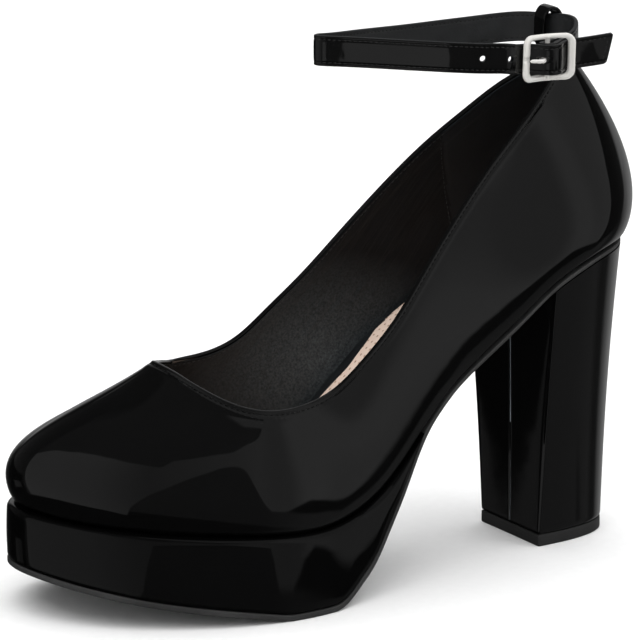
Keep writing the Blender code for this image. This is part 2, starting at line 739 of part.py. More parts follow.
def tube(name, line, radius, closed, mat, col, sides=3):
    """Round wire along a line."""
    data = bpy.data.curves.new(name, "CURVE")
    data.dimensions = "3D"
    run = data.splines.new("POLY")
    run.points.add(len(line) - 1)
    for point, p in zip(run.points, line):
        point.co = (*place(*p), 1.0)
    run.use_cyclic_u = closed
    data.bevel_depth = radius * MM
    data.bevel_resolution = sides
    data.use_fill_caps = not closed
    data.materials.append(mat)
    obj = bpy.data.objects.new(name, data)
    col.objects.link(obj)
    bpy.context.view_layer.update()
    graph = bpy.context.evaluated_depsgraph_get()
    mesh = bpy.data.meshes.new_from_object(obj.evaluated_get(graph))
    solid = bpy.data.objects.new(name + "_solid", mesh)
    solid.matrix_world = obj.matrix_world
    col.objects.link(solid)
    bpy.data.objects.remove(obj, do_unlink=True)
    work = bmesh.new()
    work.from_mesh(mesh)
    bmesh.ops.remove_doubles(work, verts=work.verts, dist=1e-6)
    bmesh.ops.recalc_face_normals(work, faces=work.faces)
    work.to_mesh(mesh)
    work.free()
    mesh.shade_smooth()
    solid.name = name
    return solid


def frame_bow(s):
    """The frame's outward curve over its length."""
    return FRAME_BOW * (abs(s) / (FRAME_L / 2)) ** 2 - 0.2


def make_frame(mat, col):
    line = []
    a, b, r = FRAME_L / 2, FRAME_H / 2, FRAME_CORNER
    for cs, ch, start in ((1, 1, 0), (-1, 1, 90), (-1, -1, 180), (1, -1, 270)):
        for k in range(5):
            angle = math.radians(start + 90 * k / 4)
            s = cs * (a - r) + r * math.cos(angle)
            h = ch * (b - r) + r * math.sin(angle)
            line.append((s, h))
        # straight runs between the corners, with a few points to follow the bow
        if ch == 1 and cs == 1:
            line += [(s, b) for s in (a - r - 2.6, 2.2, -2.2, -(a - r - 2.6))]
        if ch == -1 and cs == -1:
            line += [(s, -b) for s in (-(a - r - 2.6), -2.2, 2.2, a - r - 2.6)]
    path = [in_buckle(s, frame_bow(s), h) for s, h in line]
    frame = tube("buckle_frame", path, BAR_R, True, mat, col, 3)
    bpy.ops.mesh.primitive_cylinder_add(
        vertices=12, radius=CENTRE_R * MM, depth=(FRAME_H - 0.2) * MM,
        location=place(*in_buckle(0.0, 0.0)),
        rotation=Vector(UP).to_track_quat("Z", "Y").to_euler(),
    )
    bar = bpy.context.object
    bar.name = "centre_bar"
    union(frame, bar)
    frame.data.materials.clear()
    frame.data.materials.append(mat)
    frame.data.shade_smooth()
    frame.data.set_sharp_from_angle(angle=math.radians(40))
    return frame


def make_prong(mat, col):
    line = [in_buckle(s, n) for s, n in PRONG_LINE]
    return tube("buckle_prong", line, PRONG_R, False, mat, col, 2)


# The prong: an open curl about the centre bar, out through its hole, and over the frame.
PRONG_LINE = (
    # s      n
    (1.9, 0.7), (2.0, -0.3), (1.6, -1.2), (0.8, -1.85), (-0.2, -2.0), (-1.2, -1.6),
    (-1.85, -0.8), (-2.1, 0.3), (-2.4, 1.6), (-2.9, 3.2), (-3.8, 4.7), (-5.1, 5.1),
    (-7.0, 4.5), (-8.9, 3.7),
)


# Back loop seen along the shoe: a flat band, closed round the strap, whose outer leg
# carries on the line of the heel post.
LOOP_LINE = (
    # x      z
    (11.2, 187.8), (11.8, 191.0), (13.8, 192.9), (16.2, 192.6), (17.9, 190.8),
    (18.9, 188.2), (20.0, 185.2), (21.3, 182.2), (21.9, 180.2), (20.9, 178.9),
    (18.6, 178.4), (15.4, 178.2), (12.8, 178.7), (11.5, 180.6), (11.1, 184.2),
)


def make_loop(mat, col):
    rows = np.array([(x, 0.0, z) for x, z in LOOP_LINE])
    closed = np.concatenate([rows, rows[:1]])
    s = np.concatenate([[0.0], np.cumsum(np.linalg.norm(np.diff(closed, axis=0), axis=1))])
    seconds = spline(s, rows, True)
    line = at(s, rows, seconds, np.arange(40) * s[-1] / 40, True)[0]
    ups = np.repeat(np.array([[0.0, 1.0, 0.0]]), len(line), 0)
    return ribbon("back_loop", line, ups, LOOP_W / 2, LOOP_T, True, mat, col)


def main():
    for obj in list(bpy.data.objects):
        bpy.data.objects.remove(obj, do_unlink=True)
    col = bpy.data.collections.new("ankle_strap_pump")
    cutters = bpy.data.collections.new("cutters")
    bpy.context.scene.collection.children.link(col)
    bpy.context.scene.collection.children.link(cutters)

    patent = material("black_patent", (0.012, 0.012, 0.013), 0.12, coat=1.0)
    cover = material("black_patent_cover", (0.013, 0.013, 0.014), 0.12, coat=1.0)
    heel_cover = material("black_patent_heel", (0.012, 0.012, 0.013), 0.12, coat=1.0)
    rubber = material("dark_grey_rubber", (0.06, 0.06, 0.062), 0.6)
    tread = material("grey_tread", (0.11, 0.11, 0.112), 0.65)
    sock = material("beige_sock", (0.74, 0.58, 0.47), 0.75)
    strap = material("black_patent_strap", (0.013, 0.013, 0.014), 0.14, coat=1.0)
    tab = material("black_patent_tab", (0.012, 0.012, 0.013), 0.16, coat=1.0)
    metal = material("pale_gold_metal", (0.80, 0.76, 0.66), 0.18, metallic=1.0)
    pin = material("pale_gold_pin", (0.80, 0.76, 0.66), 0.18, metallic=1.0)

    make_upper(patent, col)
    make_insole(sock, col)
    make_outsole(rubber, col)
    make_platform(cover, col)
    make_heel(heel_cover, col)
    make_top_lift(tread, col)
    make_strap(strap, col, cutters)
    make_frame(metal, col)
    make_prong(pin, col)
    make_loop(tab, col)


main()
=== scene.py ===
import math

import bmesh
import bpy
import numpy as np
from mathutils import Matrix, Vector


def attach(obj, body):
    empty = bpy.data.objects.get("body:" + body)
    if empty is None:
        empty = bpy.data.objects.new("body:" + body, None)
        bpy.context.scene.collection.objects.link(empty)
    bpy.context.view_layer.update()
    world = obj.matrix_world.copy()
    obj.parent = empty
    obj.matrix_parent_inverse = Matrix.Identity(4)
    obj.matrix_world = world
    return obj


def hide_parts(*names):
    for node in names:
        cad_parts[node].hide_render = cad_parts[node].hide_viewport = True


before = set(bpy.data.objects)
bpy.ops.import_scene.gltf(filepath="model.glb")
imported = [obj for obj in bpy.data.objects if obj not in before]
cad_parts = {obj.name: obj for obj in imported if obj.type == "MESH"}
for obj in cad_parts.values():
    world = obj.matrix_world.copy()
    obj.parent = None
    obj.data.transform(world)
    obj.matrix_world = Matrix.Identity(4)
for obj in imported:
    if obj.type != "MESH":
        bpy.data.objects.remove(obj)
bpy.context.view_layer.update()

# ---------------------------------------------------------------- the part's own sizes (mm)
MM = 0.001
ORIGIN_X = 17.0
WALL = 1.8
GAP = 0.3
PLATFORM_OUT = 2.2
SHANK_OUT = 0.3
OUTSOLE_FORE = 2.2
INSOLE_INSET = WALL + 0.6
LIFT = 4.4
STRAP_T = 1.8
STRAP_H = 10.8
HOLE_R = 1.1
HOLES = (-22.8, -12.9, 0.0, 14.2)
FRAME_L = 18.8
FRAME_H = 14.6
BAR_R = 1.05
CENTRE_R = 0.9
PRONG_R = 0.8
LOOP_W = 6.4
LOOP_T = 1.3

SECTIONS = (
    # x      lat    med    tx      back tlat   tmed   tz     rise out0  up0   out1  down1
    (-193.5, 13.0, 13.0, -146.9, 0.0, 1.5, 1.5, 86.6, 0.0, 14.1, 27.3, 21.8, 13.1),
    (-191.8, 4.0, 22.0, -146.6, 2.2, -3.0, 5.5, 86.2, -0.9, 13.7, 26.6, 20.1, 15.3),
    (-187.3, -5.5, 30.5, -145.2, 4.1, -8.5, 10.8, 85.0, -1.4, 12.9, 25.3, 17.7, 17.2),
    (-179.8, -16.0, 37.3, -142.8, 5.5, -14.5, 16.8, 82.7, -0.9, 11.0, 23.3, 15.4, 17.0),
    (-168.5, -25.5, 41.5, -139.0, 5.6, -20.5, 22.5, 79.7, 0.2, 8.7, 20.8, 13.4, 15.5),
    (-154.0, -34.0, 43.5, -133.5, 4.9, -26.5, 27.9, 76.4, 1.6, 6.2, 18.3, 11.8, 13.4),
    (-138.0, -40.5, 43.3, -126.5, 3.2, -31.3, 31.9, 74.0, 2.4, 4.1, 16.3, 10.3, 11.6),
    (-122.0, -43.5, 41.5, -118.0, 1.3, -33.8, 34.0, 73.0, 3.0, 2.8, 15.0, 9.0, 11.0),
    (-106.0, -43.3, 38.5, -107.0, 0.0, -34.2, 34.0, 73.8, 3.0, 2.6, 15.0, 7.5, 12.5),
    (-90.0, -40.0, 35.3, -95.0, 0.0, -33.6, 33.5, 77.7, 3.0, 2.5, 15.0, 6.5, 13.5),
    (-74.0, -36.5, 33.0, -83.0, 0.0, -33.0, 33.0, 86.2, 3.0, 2.5, 14.5, 5.5, 14.0),
    (-58.0, -33.3, 31.3, -69.5, 0.0, -31.2, 31.2, 97.5, 3.0, 2.8, 14.0, 5.0, 15.0),
    (-42.0, -31.0, 30.0, -55.0, 0.0, -27.7, 27.7, 112.5, 3.0, 3.0, 13.5, 5.0, 16.0),
    (-26.0, -29.8, 29.2, -40.0, 0.0, -23.8, 23.8, 128.0, 3.0, 3.2, 13.0, 5.5, 17.0),
    (-9.0, -29.3, 28.8, -24.5, 0.0, -19.9, 19.9, 142.3, 3.0, 3.6, 13.0, 6.5, 18.5),
    (7.0, -29.3, 28.8, -10.0, 0.0, -16.0, 16.0, 153.6, 3.0, 4.4, 13.0, 8.5, 20.0),
    (20.0, -27.0, 26.8, 2.3, 0.0, -12.2, 12.2, 163.3, 2.3, 6.2, 13.0, 11.5, 22.0),
    (30.5, -21.5, 21.3, 10.8, 0.0, -8.3, 8.3, 169.9, 1.2, 9.0, 12.5, 15.0, 24.5),
    (38.0, -12.0, 12.0, 18.0, 0.0, -4.7, 4.7, 175.6, 0.3, 12.5, 12.0, 19.5, 27.0),
    (41.0, 0.0, 0.0, 22.3, 0.0, 0.0, 0.0, 177.2, 0.0, 15.0, 11.5, 23.5, 28.0),
)
FEATHER = (
    (-200.0, 38.6), (-192.0, 37.2), (-180.0, 35.6), (-168.0, 34.3), (-155.0, 33.1),
    (-140.0, 31.9), (-124.0, 30.6), (-110.0, 30.0), (-98.0, 30.9), (-88.0, 33.4),
    (-80.0, 37.2), (-73.0, 42.2), (-66.0, 48.4), (-60.0, 54.5), (-54.0, 60.6),
    (-49.0, 65.5), (-42.0, 71.2), (-36.0, 75.3), (-29.0, 79.8), (-20.0, 85.6),
    (-11.0, 91.8), (-2.0, 98.4), (7.0, 103.3), (18.0, 107.2), (30.0, 109.2), (44.0, 109.7),
)
UNDERSIDE = (
    (-200.0, 16.6), (-194.0, 14.8), (-188.0, 13.1), (-181.0, 11.4), (-170.0, 8.8),
    (-158.0, 6.5), (-145.0, 4.3), (-134.0, 2.5), (-126.0, 1.0), (-120.0, 0.0),
    (-111.0, 0.0), (-102.0, 0.0), (-96.0, 2.0), (-90.0, 6.6), (-83.0, 13.2),
    (-76.0, 23.5), (-68.0, 36.0), (-62.0, 46.6), (-57.0, 54.4), (-51.0, 61.2),
    (-44.0, 67.6), (-36.0, 73.3), (-29.0, 77.8), (-20.0, 83.6), (-11.0, 90.0),
    (-2.0, 96.6), (7.0, 101.4), (18.0, 105.4), (30.0, 107.4), (44.0, 107.9),
)
PLATFORM_END = -59.0
INSOLE_THICK = (
    (-200.0, 2.6), (-150.0, 3.0), (-110.0, 4.0), (-75.0, 5.6), (-40.0, 5.4),
    (0.0, 4.0), (44.0, 3.4),
)
TREAD_HALF = 18.7
TREAD_DEPTH = 36.0
TREAD_POWER = 2.5
BREAST_TOP_X = -1.0
HEEL_WAIST = 0.8
STRAP_LINE = (
    (4.0, -26.6, 183.2), (9.6, -23.4, 184.4), (14.0, -18.4, 185.6),
    (16.3, -12.5, 186.4), (15.8, -6.0, 186.1), (14.4, 0.0, 185.3),
    (13.0, 6.4, 184.8), (10.0, 12.0, 184.3), (4.0, 15.6, 183.8), (-6.0, 16.8, 183.6),
    (-20.0, 16.0, 183.9), (-40.0, 12.6, 184.9), (-62.0, 7.4, 186.6),
    (-75.6, 3.0, 187.9),
)
FRONT_BEND = (-80.2, 0.2, 188.4)
FRONT_R = 1.9
STRAP_NEAR = (
    (-71.0, -5.4, 187.5), (-56.0, -13.4, 186.3), (-41.5, -21.4, 185.2),
    (-27.0, -27.0, 184.1), (-21.0, -28.8, 183.6),
)
BUCKLE_AT = (-6.4, -30.4, 182.7)
BUCKLE_TURN = -4.0
BUCKLE_DIP = -1.5
FRAME_BOW = 1.6
TIP_RISE = 1.7
BUCKLE_RUN = (
    (-12.0, -1.0), (-9.4, -1.0), (-6.9, -0.2), (-4.5, 2.1), (-2.3, 4.0), (0.0, 4.7),
    (2.3, 4.0), (4.6, 2.0), (7.0, -0.3), (9.6, -1.2), (12.5, -1.2), (16.0, -0.8),
    (21.0, -0.2), (26.6, 0.3),
)
FOLD_TAIL = ((9.4, -7.7), (7.0, -6.6), (4.6, -5.0), (2.3, -3.2))
FOLD_OUT = ((2.4, 0.9), (4.6, -1.2), (7.4, -3.0))
PRONG_LINE = (
    (1.9, 0.7), (2.0, -0.3), (1.6, -1.2), (0.8, -1.85), (-0.2, -2.0), (-1.2, -1.6),
    (-1.85, -0.8), (-2.1, 0.3), (-2.4, 1.6), (-2.9, 3.2), (-3.8, 4.7), (-5.1, 5.1),
    (-7.0, 4.5), (-8.9, 3.7),
)
LOOP_LINE = (
    (11.2, 187.8), (11.8, 191.0), (13.8, 192.9), (16.2, 192.6), (17.9, 190.8),
    (18.9, 188.2), (20.0, 185.2), (21.3, 182.2), (21.9, 180.2), (20.9, 178.9),
    (18.6, 178.4), (15.4, 178.2), (12.8, 178.7), (11.5, 180.6), (11.1, 184.2),
)


# ---------------------------------------------------------------- curves and sections
def place(points):
    p = np.asarray(points, float)
    return (p - np.array([ORIGIN_X, 0.0, 0.0])) * MM


def spline(knots, values, periodic):
    k = np.asarray(knots, float)
    v = np.asarray(values, float)
    n = len(v)
    a = np.zeros((n, n))
    b = np.zeros(v.shape)
    h = np.diff(k)
    if periodic:
        for i in range(n):
            hm, hp = h[i - 1], h[i]
            a[i, i - 1] += hm
            a[i, i] += 2 * (hm + hp)
            a[i, (i + 1) % n] += hp
            b[i] = 6 * ((v[(i + 1) % n] - v[i]) / hp - (v[i] - v[i - 1]) / hm)
    else:
        a[0, 0] = a[-1, -1] = 1.0
        for i in range(1, n - 1):
            a[i, i - 1], a[i, i], a[i, i + 1] = h[i - 1], 2 * (h[i - 1] + h[i]), h[i]
            b[i] = 6 * ((v[i + 1] - v[i]) / h[i] - (v[i] - v[i - 1]) / h[i - 1])
    return np.linalg.solve(a, b)


def at(knots, values, seconds, u, periodic=False):
    k = np.asarray(knots, float)
    v = np.asarray(values, float)
    u = np.asarray(u, float)
    if periodic:
        u = np.mod(u - k[0], k[-1] - k[0]) + k[0]
        v = np.concatenate([v, v[:1]])
        seconds = np.concatenate([seconds, seconds[:1]])
    i = np.clip(np.searchsorted(k, u, side="right") - 1, 0, len(k) - 2)
    h = k[i + 1] - k[i]
    p, q = (k[i + 1] - u) / h, (u - k[i]) / h
    if v.ndim > 1:
        h, p, q = h[..., None], p[..., None], q[..., None]
    value = (
        p * v[i] + q * v[i + 1]
        + ((p**3 - p) * seconds[i] + (q**3 - q) * seconds[i + 1]) * h * h / 6
    )
    slope = (v[i + 1] - v[i]) / h + (
        -(3 * p * p - 1) * seconds[i] + (3 * q * q - 1) * seconds[i + 1]
    ) * h / 6
    return value, slope


def height(table):
    rows = np.array(table)
    seconds = spline(rows[:, 0], rows[:, 1], False)
    return lambda x: at(rows[:, 0], rows[:, 1], seconds, x)[0]


feather_z = height(FEATHER)
insole_t = height(INSOLE_THICK)
_under = height(UNDERSIDE)


def underside_z(x):
    x = np.asarray(x, float)
    z = np.maximum(_under(x), 0.0)
    return np.where((x > -120.0) & (x < -102.0), 0.0, z)


def last_spline():
    rows = np.array(SECTIONS)
    lateral = [(r[0], r[1], r[3], r[5], r[7], *r[9:]) for r in rows]
    medial = [
        (r[0], r[2], r[3] + r[4], r[6], r[7] + r[8], *r[9:]) for r in rows[-2:0:-1]
    ]
    values = np.array(lateral + medial)
    n = len(rows)
    steps = []
    for a, b in zip(range(n - 1), range(1, n)):
        one = values[b] - values[a]
        other = values[(-b) % len(values)] - values[(-a) % len(values)]
        steps.append(
            sum(math.hypot(d[0], d[1]) + math.hypot(d[2], d[3]) for d in (one, other)) / 4
        )
    knots = np.concatenate([[0.0], np.cumsum(steps + steps[::-1])])
    return knots, values, spline(knots, values, True)


KNOTS, VALUES, SECONDS = last_spline()
ROUND = KNOTS[-1]


def unit(v):
    v = np.asarray(v, float)
    return v / np.maximum(np.linalg.norm(v, axis=-1, keepdims=True), 1e-12)


def smoothstep(a, b, x):
    t = np.clip((np.asarray(x, float) - a) / (b - a), 0, 1)
    return t * t * (3 - 2 * t)


def stations(count):
    return np.arange(count) * ROUND / count


def feather_line(u):
    value, slope = at(KNOTS, VALUES, SECONDS, u, True)
    x, y = value[:, 0], value[:, 1]
    normal = np.stack([slope[:, 1], -slope[:, 0]], 1)
    normal /= np.linalg.norm(normal, axis=1)[:, None]
    return x, y, normal * OUTWARD


_, _slope = at(KNOTS, VALUES, SECONDS, np.array([0.0]), True)
OUTWARD = -1.0 if _slope[0, 1] > 0 else 1.0


def wall(u, t):
    """Outer face of the upper at stations u (n) and heights t (n, m) or (m)."""
    value, _ = at(KNOTS, VALUES, SECONDS, u, True)
    fx, fy, normal = feather_line(u)
    n3 = np.concatenate([normal, np.zeros((len(u), 1))], 1)
    up = np.array([0.0, 0.0, 1.0])
    feather = np.stack([fx, fy, feather_z(fx)], 1)
    top = value[:, 2:5]
    out0, up0, out1, down1 = (value[:, i : i + 1] for i in (5, 6, 7, 8))
    first = feather + out0 * n3 + up0 * up
    second = top + out1 * n3 - down1 * up
    t = np.asarray(t, float)
    if t.ndim == 1:
        t = np.broadcast_to(t, (len(u), len(t)))
    t = t[:, :, None]
    f, a, b, e = (p[:, None, :] for p in (feather, first, second, top))
    return (1 - t) ** 3 * f + 3 * (1 - t) ** 2 * t * a + 3 * (1 - t) * t * t * b + t**3 * e


def wall_frame(u, t):
    """Place, outward normal and upward tangent of the upper's outer face."""
    e = 0.4
    du = wall(u + e, t) - wall(u - e, t)
    tt = np.asarray(t, float)
    dt = wall(u, np.minimum(tt + 1e-3, 1.0)) - wall(u, np.maximum(tt - 1e-3, 0.0))
    n = unit(np.cross(du, dt))
    # outwards at the toe tip's foot means towards -X
    probe = np.cross(
        wall(np.array([e]), np.array([0.2])) - wall(np.array([-e]), np.array([0.2])),
        wall(np.array([0.0]), np.array([0.21])) - wall(np.array([0.0]), np.array([0.19])),
    )
    if probe[0, 0, 0] > 0:
        n = -n
    return wall(u, t), n, unit(dt)


def depth_table(u, samples=241):
    """For each station, t as a function of the distance below the top edge."""
    t = np.linspace(0, 1, samples)
    s = wall(u, t)
    seg = np.linalg.norm(np.diff(s, axis=1), axis=2)
    run = np.concatenate([np.zeros((len(u), 1)), np.cumsum(seg, axis=1)], 1)
    down = run[:, -1:] - run
    return t, down


def t_at_depth(u, depth):
    """depth (n, m) below the top edge, in mm along the wall."""
    t, down = depth_table(u)
    out = np.empty(depth.shape)
    for i in range(len(u)):
        out[i] = np.interp(depth[i], down[i][::-1], t[::-1])
    return out, down[:, 0]


def outline(count, offset):
    u = stations(count)
    x, y, normal = feather_line(u)
    out = offset(x) if callable(offset) else np.full(len(x), float(offset))
    return x + normal[:, 0] * out, y + normal[:, 1] * out


def sole_out(x):
    s = smoothstep(-84.0, -52.0, x)
    return PLATFORM_OUT * (1 - s) + SHANK_OUT * s


def outsole_top(x):
    fore = underside_z(x) + OUTSOLE_FORE
    x = np.asarray(x, float)
    steep = np.clip((x + 98.0) / 20.0, 0, 1)
    fore = fore + steep * 0.9
    shank = feather_z(x) - GAP
    s = smoothstep(PLATFORM_END - 2.0, PLATFORM_END + 3.0, x)
    return np.minimum(fore * (1 - s) + shank * s, shank)


def buckle_axes():
    turn, dip = math.radians(BUCKLE_TURN), math.radians(BUCKLE_DIP)
    along = Vector((math.cos(turn) * math.cos(dip), math.sin(turn) * math.cos(dip), math.sin(dip)))
    out = Vector((math.sin(turn), -math.cos(turn), 0.0))
    up = out.cross(along).normalized()
    if up.z < 0:
        up = -up
    return np.array(along), np.array(out), np.array(up)


ALONG, OUT, UP = buckle_axes()


def in_buckle(s, n, h=0.0):
    return np.array(BUCKLE_AT) + ALONG * s + OUT * n + UP * h


def smooth_run(points, step):
    p = np.asarray(points, float)
    s = np.concatenate([[0.0], np.cumsum(np.linalg.norm(np.diff(p, axis=0), axis=1))])
    seconds = spline(s, p, False)
    fine = at(s, p, seconds, np.linspace(0, s[-1], 1600))[0]
    length = np.concatenate([[0.0], np.cumsum(np.linalg.norm(np.diff(fine, axis=0), axis=1))])
    count = max(2, int(round(length[-1] / step)) + 1)
    want = np.linspace(0, length[-1], count)
    return np.stack([np.interp(want, length, fine[:, i]) for i in range(3)], 1)


def resample(line, step):
    line = np.asarray(line, float)
    s = np.concatenate([[0.0], np.cumsum(np.linalg.norm(np.diff(line, axis=0), axis=1))])
    count = max(2, int(round(s[-1] / step)) + 1)
    want = np.linspace(0, s[-1], count)
    return np.stack([np.interp(want, s, line[:, i]) for i in range(line.shape[1])], 1)


def soften(line, passes):
    """Rounds the small kinks of an open run and keeps its two ends."""
    line = np.array(line, float)
    for _ in range(passes):
        line[1:-1] = line[1:-1] * 0.5 + (line[:-2] + line[2:]) * 0.25
    return line


def soften_closed(line, passes):
    line = np.array(line, float)
    for _ in range(passes):
        line = line * 0.5 + (np.roll(line, 1, 0) + np.roll(line, -1, 0)) * 0.25
    return line


def strap_path():
    tail = [in_buckle(s, n) for s, n in FOLD_TAIL]
    fold_r = CENTRE_R + GAP + STRAP_T / 2 + 0.1
    bend = [
        in_buckle(-fold_r * math.sin(a), -fold_r * math.cos(a))
        for a in np.linspace(math.radians(-20), math.radians(200), 30)
    ]
    away = [in_buckle(s, n) for s, n in FOLD_OUT]
    cx, cy, cz = FRONT_BEND
    front = [
        (cx - FRONT_R * math.sin(a), cy + FRONT_R * math.cos(a), cz)
        for a in np.linspace(math.radians(12), math.radians(152), 24)
    ]
    through = [
        in_buckle(s, n, TIP_RISE * max(0.0, (s - 6.0) / 20.6) ** 1.3) for s, n in BUCKLE_RUN
    ]
    near = list(STRAP_NEAR) + through
    pieces = [
        smooth_run(tail + bend[:1], 0.5)[:-1],
        np.array(bend[:-1]),
        smooth_run(bend[-1:] + away + list(STRAP_LINE) + front[:1], 0.5)[:-1],
        np.array(front[:-1]),
        smooth_run(front[-1:] + near, 0.5),
    ]
    line = resample(np.concatenate(pieces), 0.5)
    line = soften(line, 6)
    tangent = unit(np.gradient(line, axis=0))
    up = unit(np.array([0.0, 0.0, 1.0]) - tangent * tangent[:, 2:3])
    side = unit(np.cross(tangent, up))
    # the patent side faces away from the ankle: towards +Y on the inner run
    k = int(np.argmax(line[:, 1]))
    if side[k, 1] < 0:
        side = -side
    return line, tangent, up, side


# ---------------------------------------------------------------- meshes
def new_object(name, points, faces, mats, index=None, sharp=40.0, solid=True):
    mesh = bpy.data.meshes.new(name)
    mesh.from_pydata([tuple(p) for p in place(points)], [], faces)
    mesh.update()
    for mat in mats:
        mesh.materials.append(mat)
    if index is not None:
        mesh.polygons.foreach_set("material_index", np.asarray(index, np.int32))
    obj = bpy.data.objects.new(name, mesh)
    bpy.context.scene.collection.objects.link(obj)
    if solid:
        work = bmesh.new()
        work.from_mesh(mesh)
        bmesh.ops.recalc_face_normals(work, faces=work.faces)
        if work.calc_volume(signed=True) < 0:
            bmesh.ops.reverse_faces(work, faces=work.faces)
        work.to_mesh(mesh)
        work.free()
    mesh.shade_smooth()
    mesh.set_sharp_from_angle(angle=math.radians(sharp))
    return obj


def tube_faces(nu, nv, wrap_u, wrap_v):
    """Quads of a grid whose point (i, k) is number i * nv + k."""
    faces = []
    for i in range(nu if wrap_u else nu - 1):
        j = (i + 1) % nu
        for k in range(nv if wrap_v else nv - 1):
            m = (k + 1) % nv
            faces.append((i * nv + k, j * nv + k, j * nv + m, i * nv + m))
    return faces


def merge_parts(parts):
    """Joins (points, faces) lists into one."""
    points, faces, base = [], [], 0
    for p, f in parts:
        points.append(np.asarray(p, float))
        faces += [tuple(v + base for v in face) for face in f]
        base += len(p)
    return np.concatenate(points), faces


def run_lengths(line):
    return np.concatenate([[0.0], np.cumsum(np.linalg.norm(np.diff(line, axis=0), axis=1))])


def thread_row(points, normals, pitch, length, radius, lift, sunk=0.18, start=0.5):
    """Short stitches along a line that lies on a surface with the given normals."""
    s = run_lengths(points)
    count = int((s[-1] - start) / pitch)
    rings, around = 6, 6
    parts = []
    for c in range(count):
        mid = start + (c + 0.5) * pitch
        where = np.linspace(mid - length / 2, mid + length / 2, rings)
        centre = np.stack([np.interp(where, s, points[:, i]) for i in range(3)], 1)
        normal = unit(np.stack([np.interp(where, s, normals[:, i]) for i in range(3)], 1))
        tangent = unit(np.gradient(centre, axis=0))
        across = unit(np.cross(tangent, normal))
        f = np.linspace(-1, 1, rings)
        rise = lift - sunk * f**4
        fat = radius * np.sqrt(np.clip(1.0 - (np.abs(f) ** 3) * 0.85, 0.05, 1))
        ring_points = []
        for i in range(rings):
            c0 = centre[i] + normal[i] * rise[i]
            for a in np.arange(around) * 2 * math.pi / around:
                ring_points.append(
                    c0 + across[i] * math.cos(a) * fat[i] + normal[i] * math.sin(a) * fat[i] * 0.75
                )
        faces = tube_faces(rings, around, False, True)
        faces.append(tuple(range(around)))
        faces.append(tuple((rings - 1) * around + a for a in range(around))[::-1])
        parts.append((ring_points, faces))
    return parts


# ---------------------------------------------------------------- materials
class Nodes:
    """Small helper to build node trees."""

    def __init__(self, name, colour, roughness, metallic=0.0):
        self.mat = bpy.data.materials.new(name)
        self.mat.use_nodes = True
        self.tree = self.mat.node_tree
        self.shader = self.tree.nodes["Principled BSDF"]
        self.set("Base Color", (*colour, 1.0))
        self.set("Roughness", roughness)
        self.set("Metallic", metallic)
        self.mat.diffuse_color = (*colour, 1.0)
        self.coords = self.tree.nodes.new("ShaderNodeTexCoord").outputs["Object"]

    def set(self, socket, value):
        self.shader.inputs[socket].default_value = value

    def add(self, kind, **values):
        node = self.tree.nodes.new(kind)
        for key, value in values.items():
            if key in node.inputs:
                node.inputs[key].default_value = value
            else:
                setattr(node, key, value)
        return node

    def link(self, a, b):
        self.tree.links.new(a, b)

    def noise(self, scale, detail=2.0, rough=0.5, stretch=None):
        node = self.add("ShaderNodeTexNoise")
        node.inputs["Scale"].default_value = scale
        node.inputs["Detail"].default_value = detail
        node.inputs["Roughness"].default_value = rough
        source = self.coords
        if stretch:
            mapping = self.add("ShaderNodeMapping")
            mapping.vector_type = "TEXTURE"
            mapping.inputs["Rotation"].default_value = stretch[0]
            mapping.inputs["Scale"].default_value = stretch[1]
            self.link(self.coords, mapping.inputs["Vector"])
            source = mapping.outputs["Vector"]
        self.link(source, node.inputs["Vector"])
        return node.outputs["Fac"]

    def cells(self, scale, feature="F1", randomness=1.0):
        node = self.add("ShaderNodeTexVoronoi")
        node.feature = feature
        node.inputs["Scale"].default_value = scale
        node.inputs["Randomness"].default_value = randomness
        self.link(self.coords, node.inputs["Vector"])
        return node.outputs["Distance"]

    def ramp(self, source, stops):
        node = self.add("ShaderNodeValToRGB")
        ramp = node.color_ramp
        while len(ramp.elements) < len(stops):
            ramp.elements.new(0.5)
        for element, (pos, value) in zip(ramp.elements, stops):
            element.position = pos
            element.color = (*value, 1.0) if isinstance(value, tuple) else (value, value, value, 1.0)
        self.link(source, node.inputs["Fac"])
        return node.outputs["Color"]

    def colour_from(self, source, stops):
        self.link(self.ramp(source, stops), self.shader.inputs["Base Color"])

    def range_to(self, source, socket, low, high, a=0.3, b=0.7):
        node = self.add("ShaderNodeMapRange")
        node.inputs["From Min"].default_value = a
        node.inputs["From Max"].default_value = b
        node.inputs["To Min"].default_value = low
        node.inputs["To Max"].default_value = high
        self.link(source, node.inputs["Value"])
        self.link(node.outputs["Result"], self.shader.inputs[socket])

    def bumps(self, layers, coat=False):
        """layers: (source, strength, distance) from first to last."""
        normal = None
        for source, strength, distance in layers:
            bump = self.add("ShaderNodeBump")
            bump.inputs["Strength"].default_value = strength
            bump.inputs["Distance"].default_value = distance
            self.link(source, bump.inputs["Height"])
            if normal is not None:
                self.link(normal, bump.inputs["Normal"])
            normal = bump.outputs["Normal"]
        self.link(normal, self.shader.inputs["Normal"])
        if coat:
            self.link(normal, self.shader.inputs["Coat Normal"])


def patent(name, base=0.0009, coat_rough=0.035, wave=0.00012, wave_scale=55.0, rough=0.32, coat=1.0):
    m = Nodes(name, (base, base, base * 1.02), rough)
    m.set("Coat Weight", coat)
    m.set("Coat Roughness", coat_rough)
    m.set("Coat IOR", 1.5)
    m.set("Specular IOR Level", 0.0)
    slow = m.noise(wave_scale, 2.0, 0.45)
    fine = m.noise(420.0, 2.0, 0.5)
    tint = m.noise(30.0, 3.0, 0.6)
    m.colour_from(tint, (
        (0.3, (base * 0.8, base * 0.8, base * 0.8)),
        (0.7, (base * 1.3, base * 1.3, base * 1.34)),
    ))
    m.bumps(((slow, 0.5, wave), (fine, 0.3, 0.000006)), coat=True)
    return m.mat


# centre of the painted sheen on the inner side's lining
PAINTED_SHEEN_CENTRE = (-0.077, 0.030, 0.067)


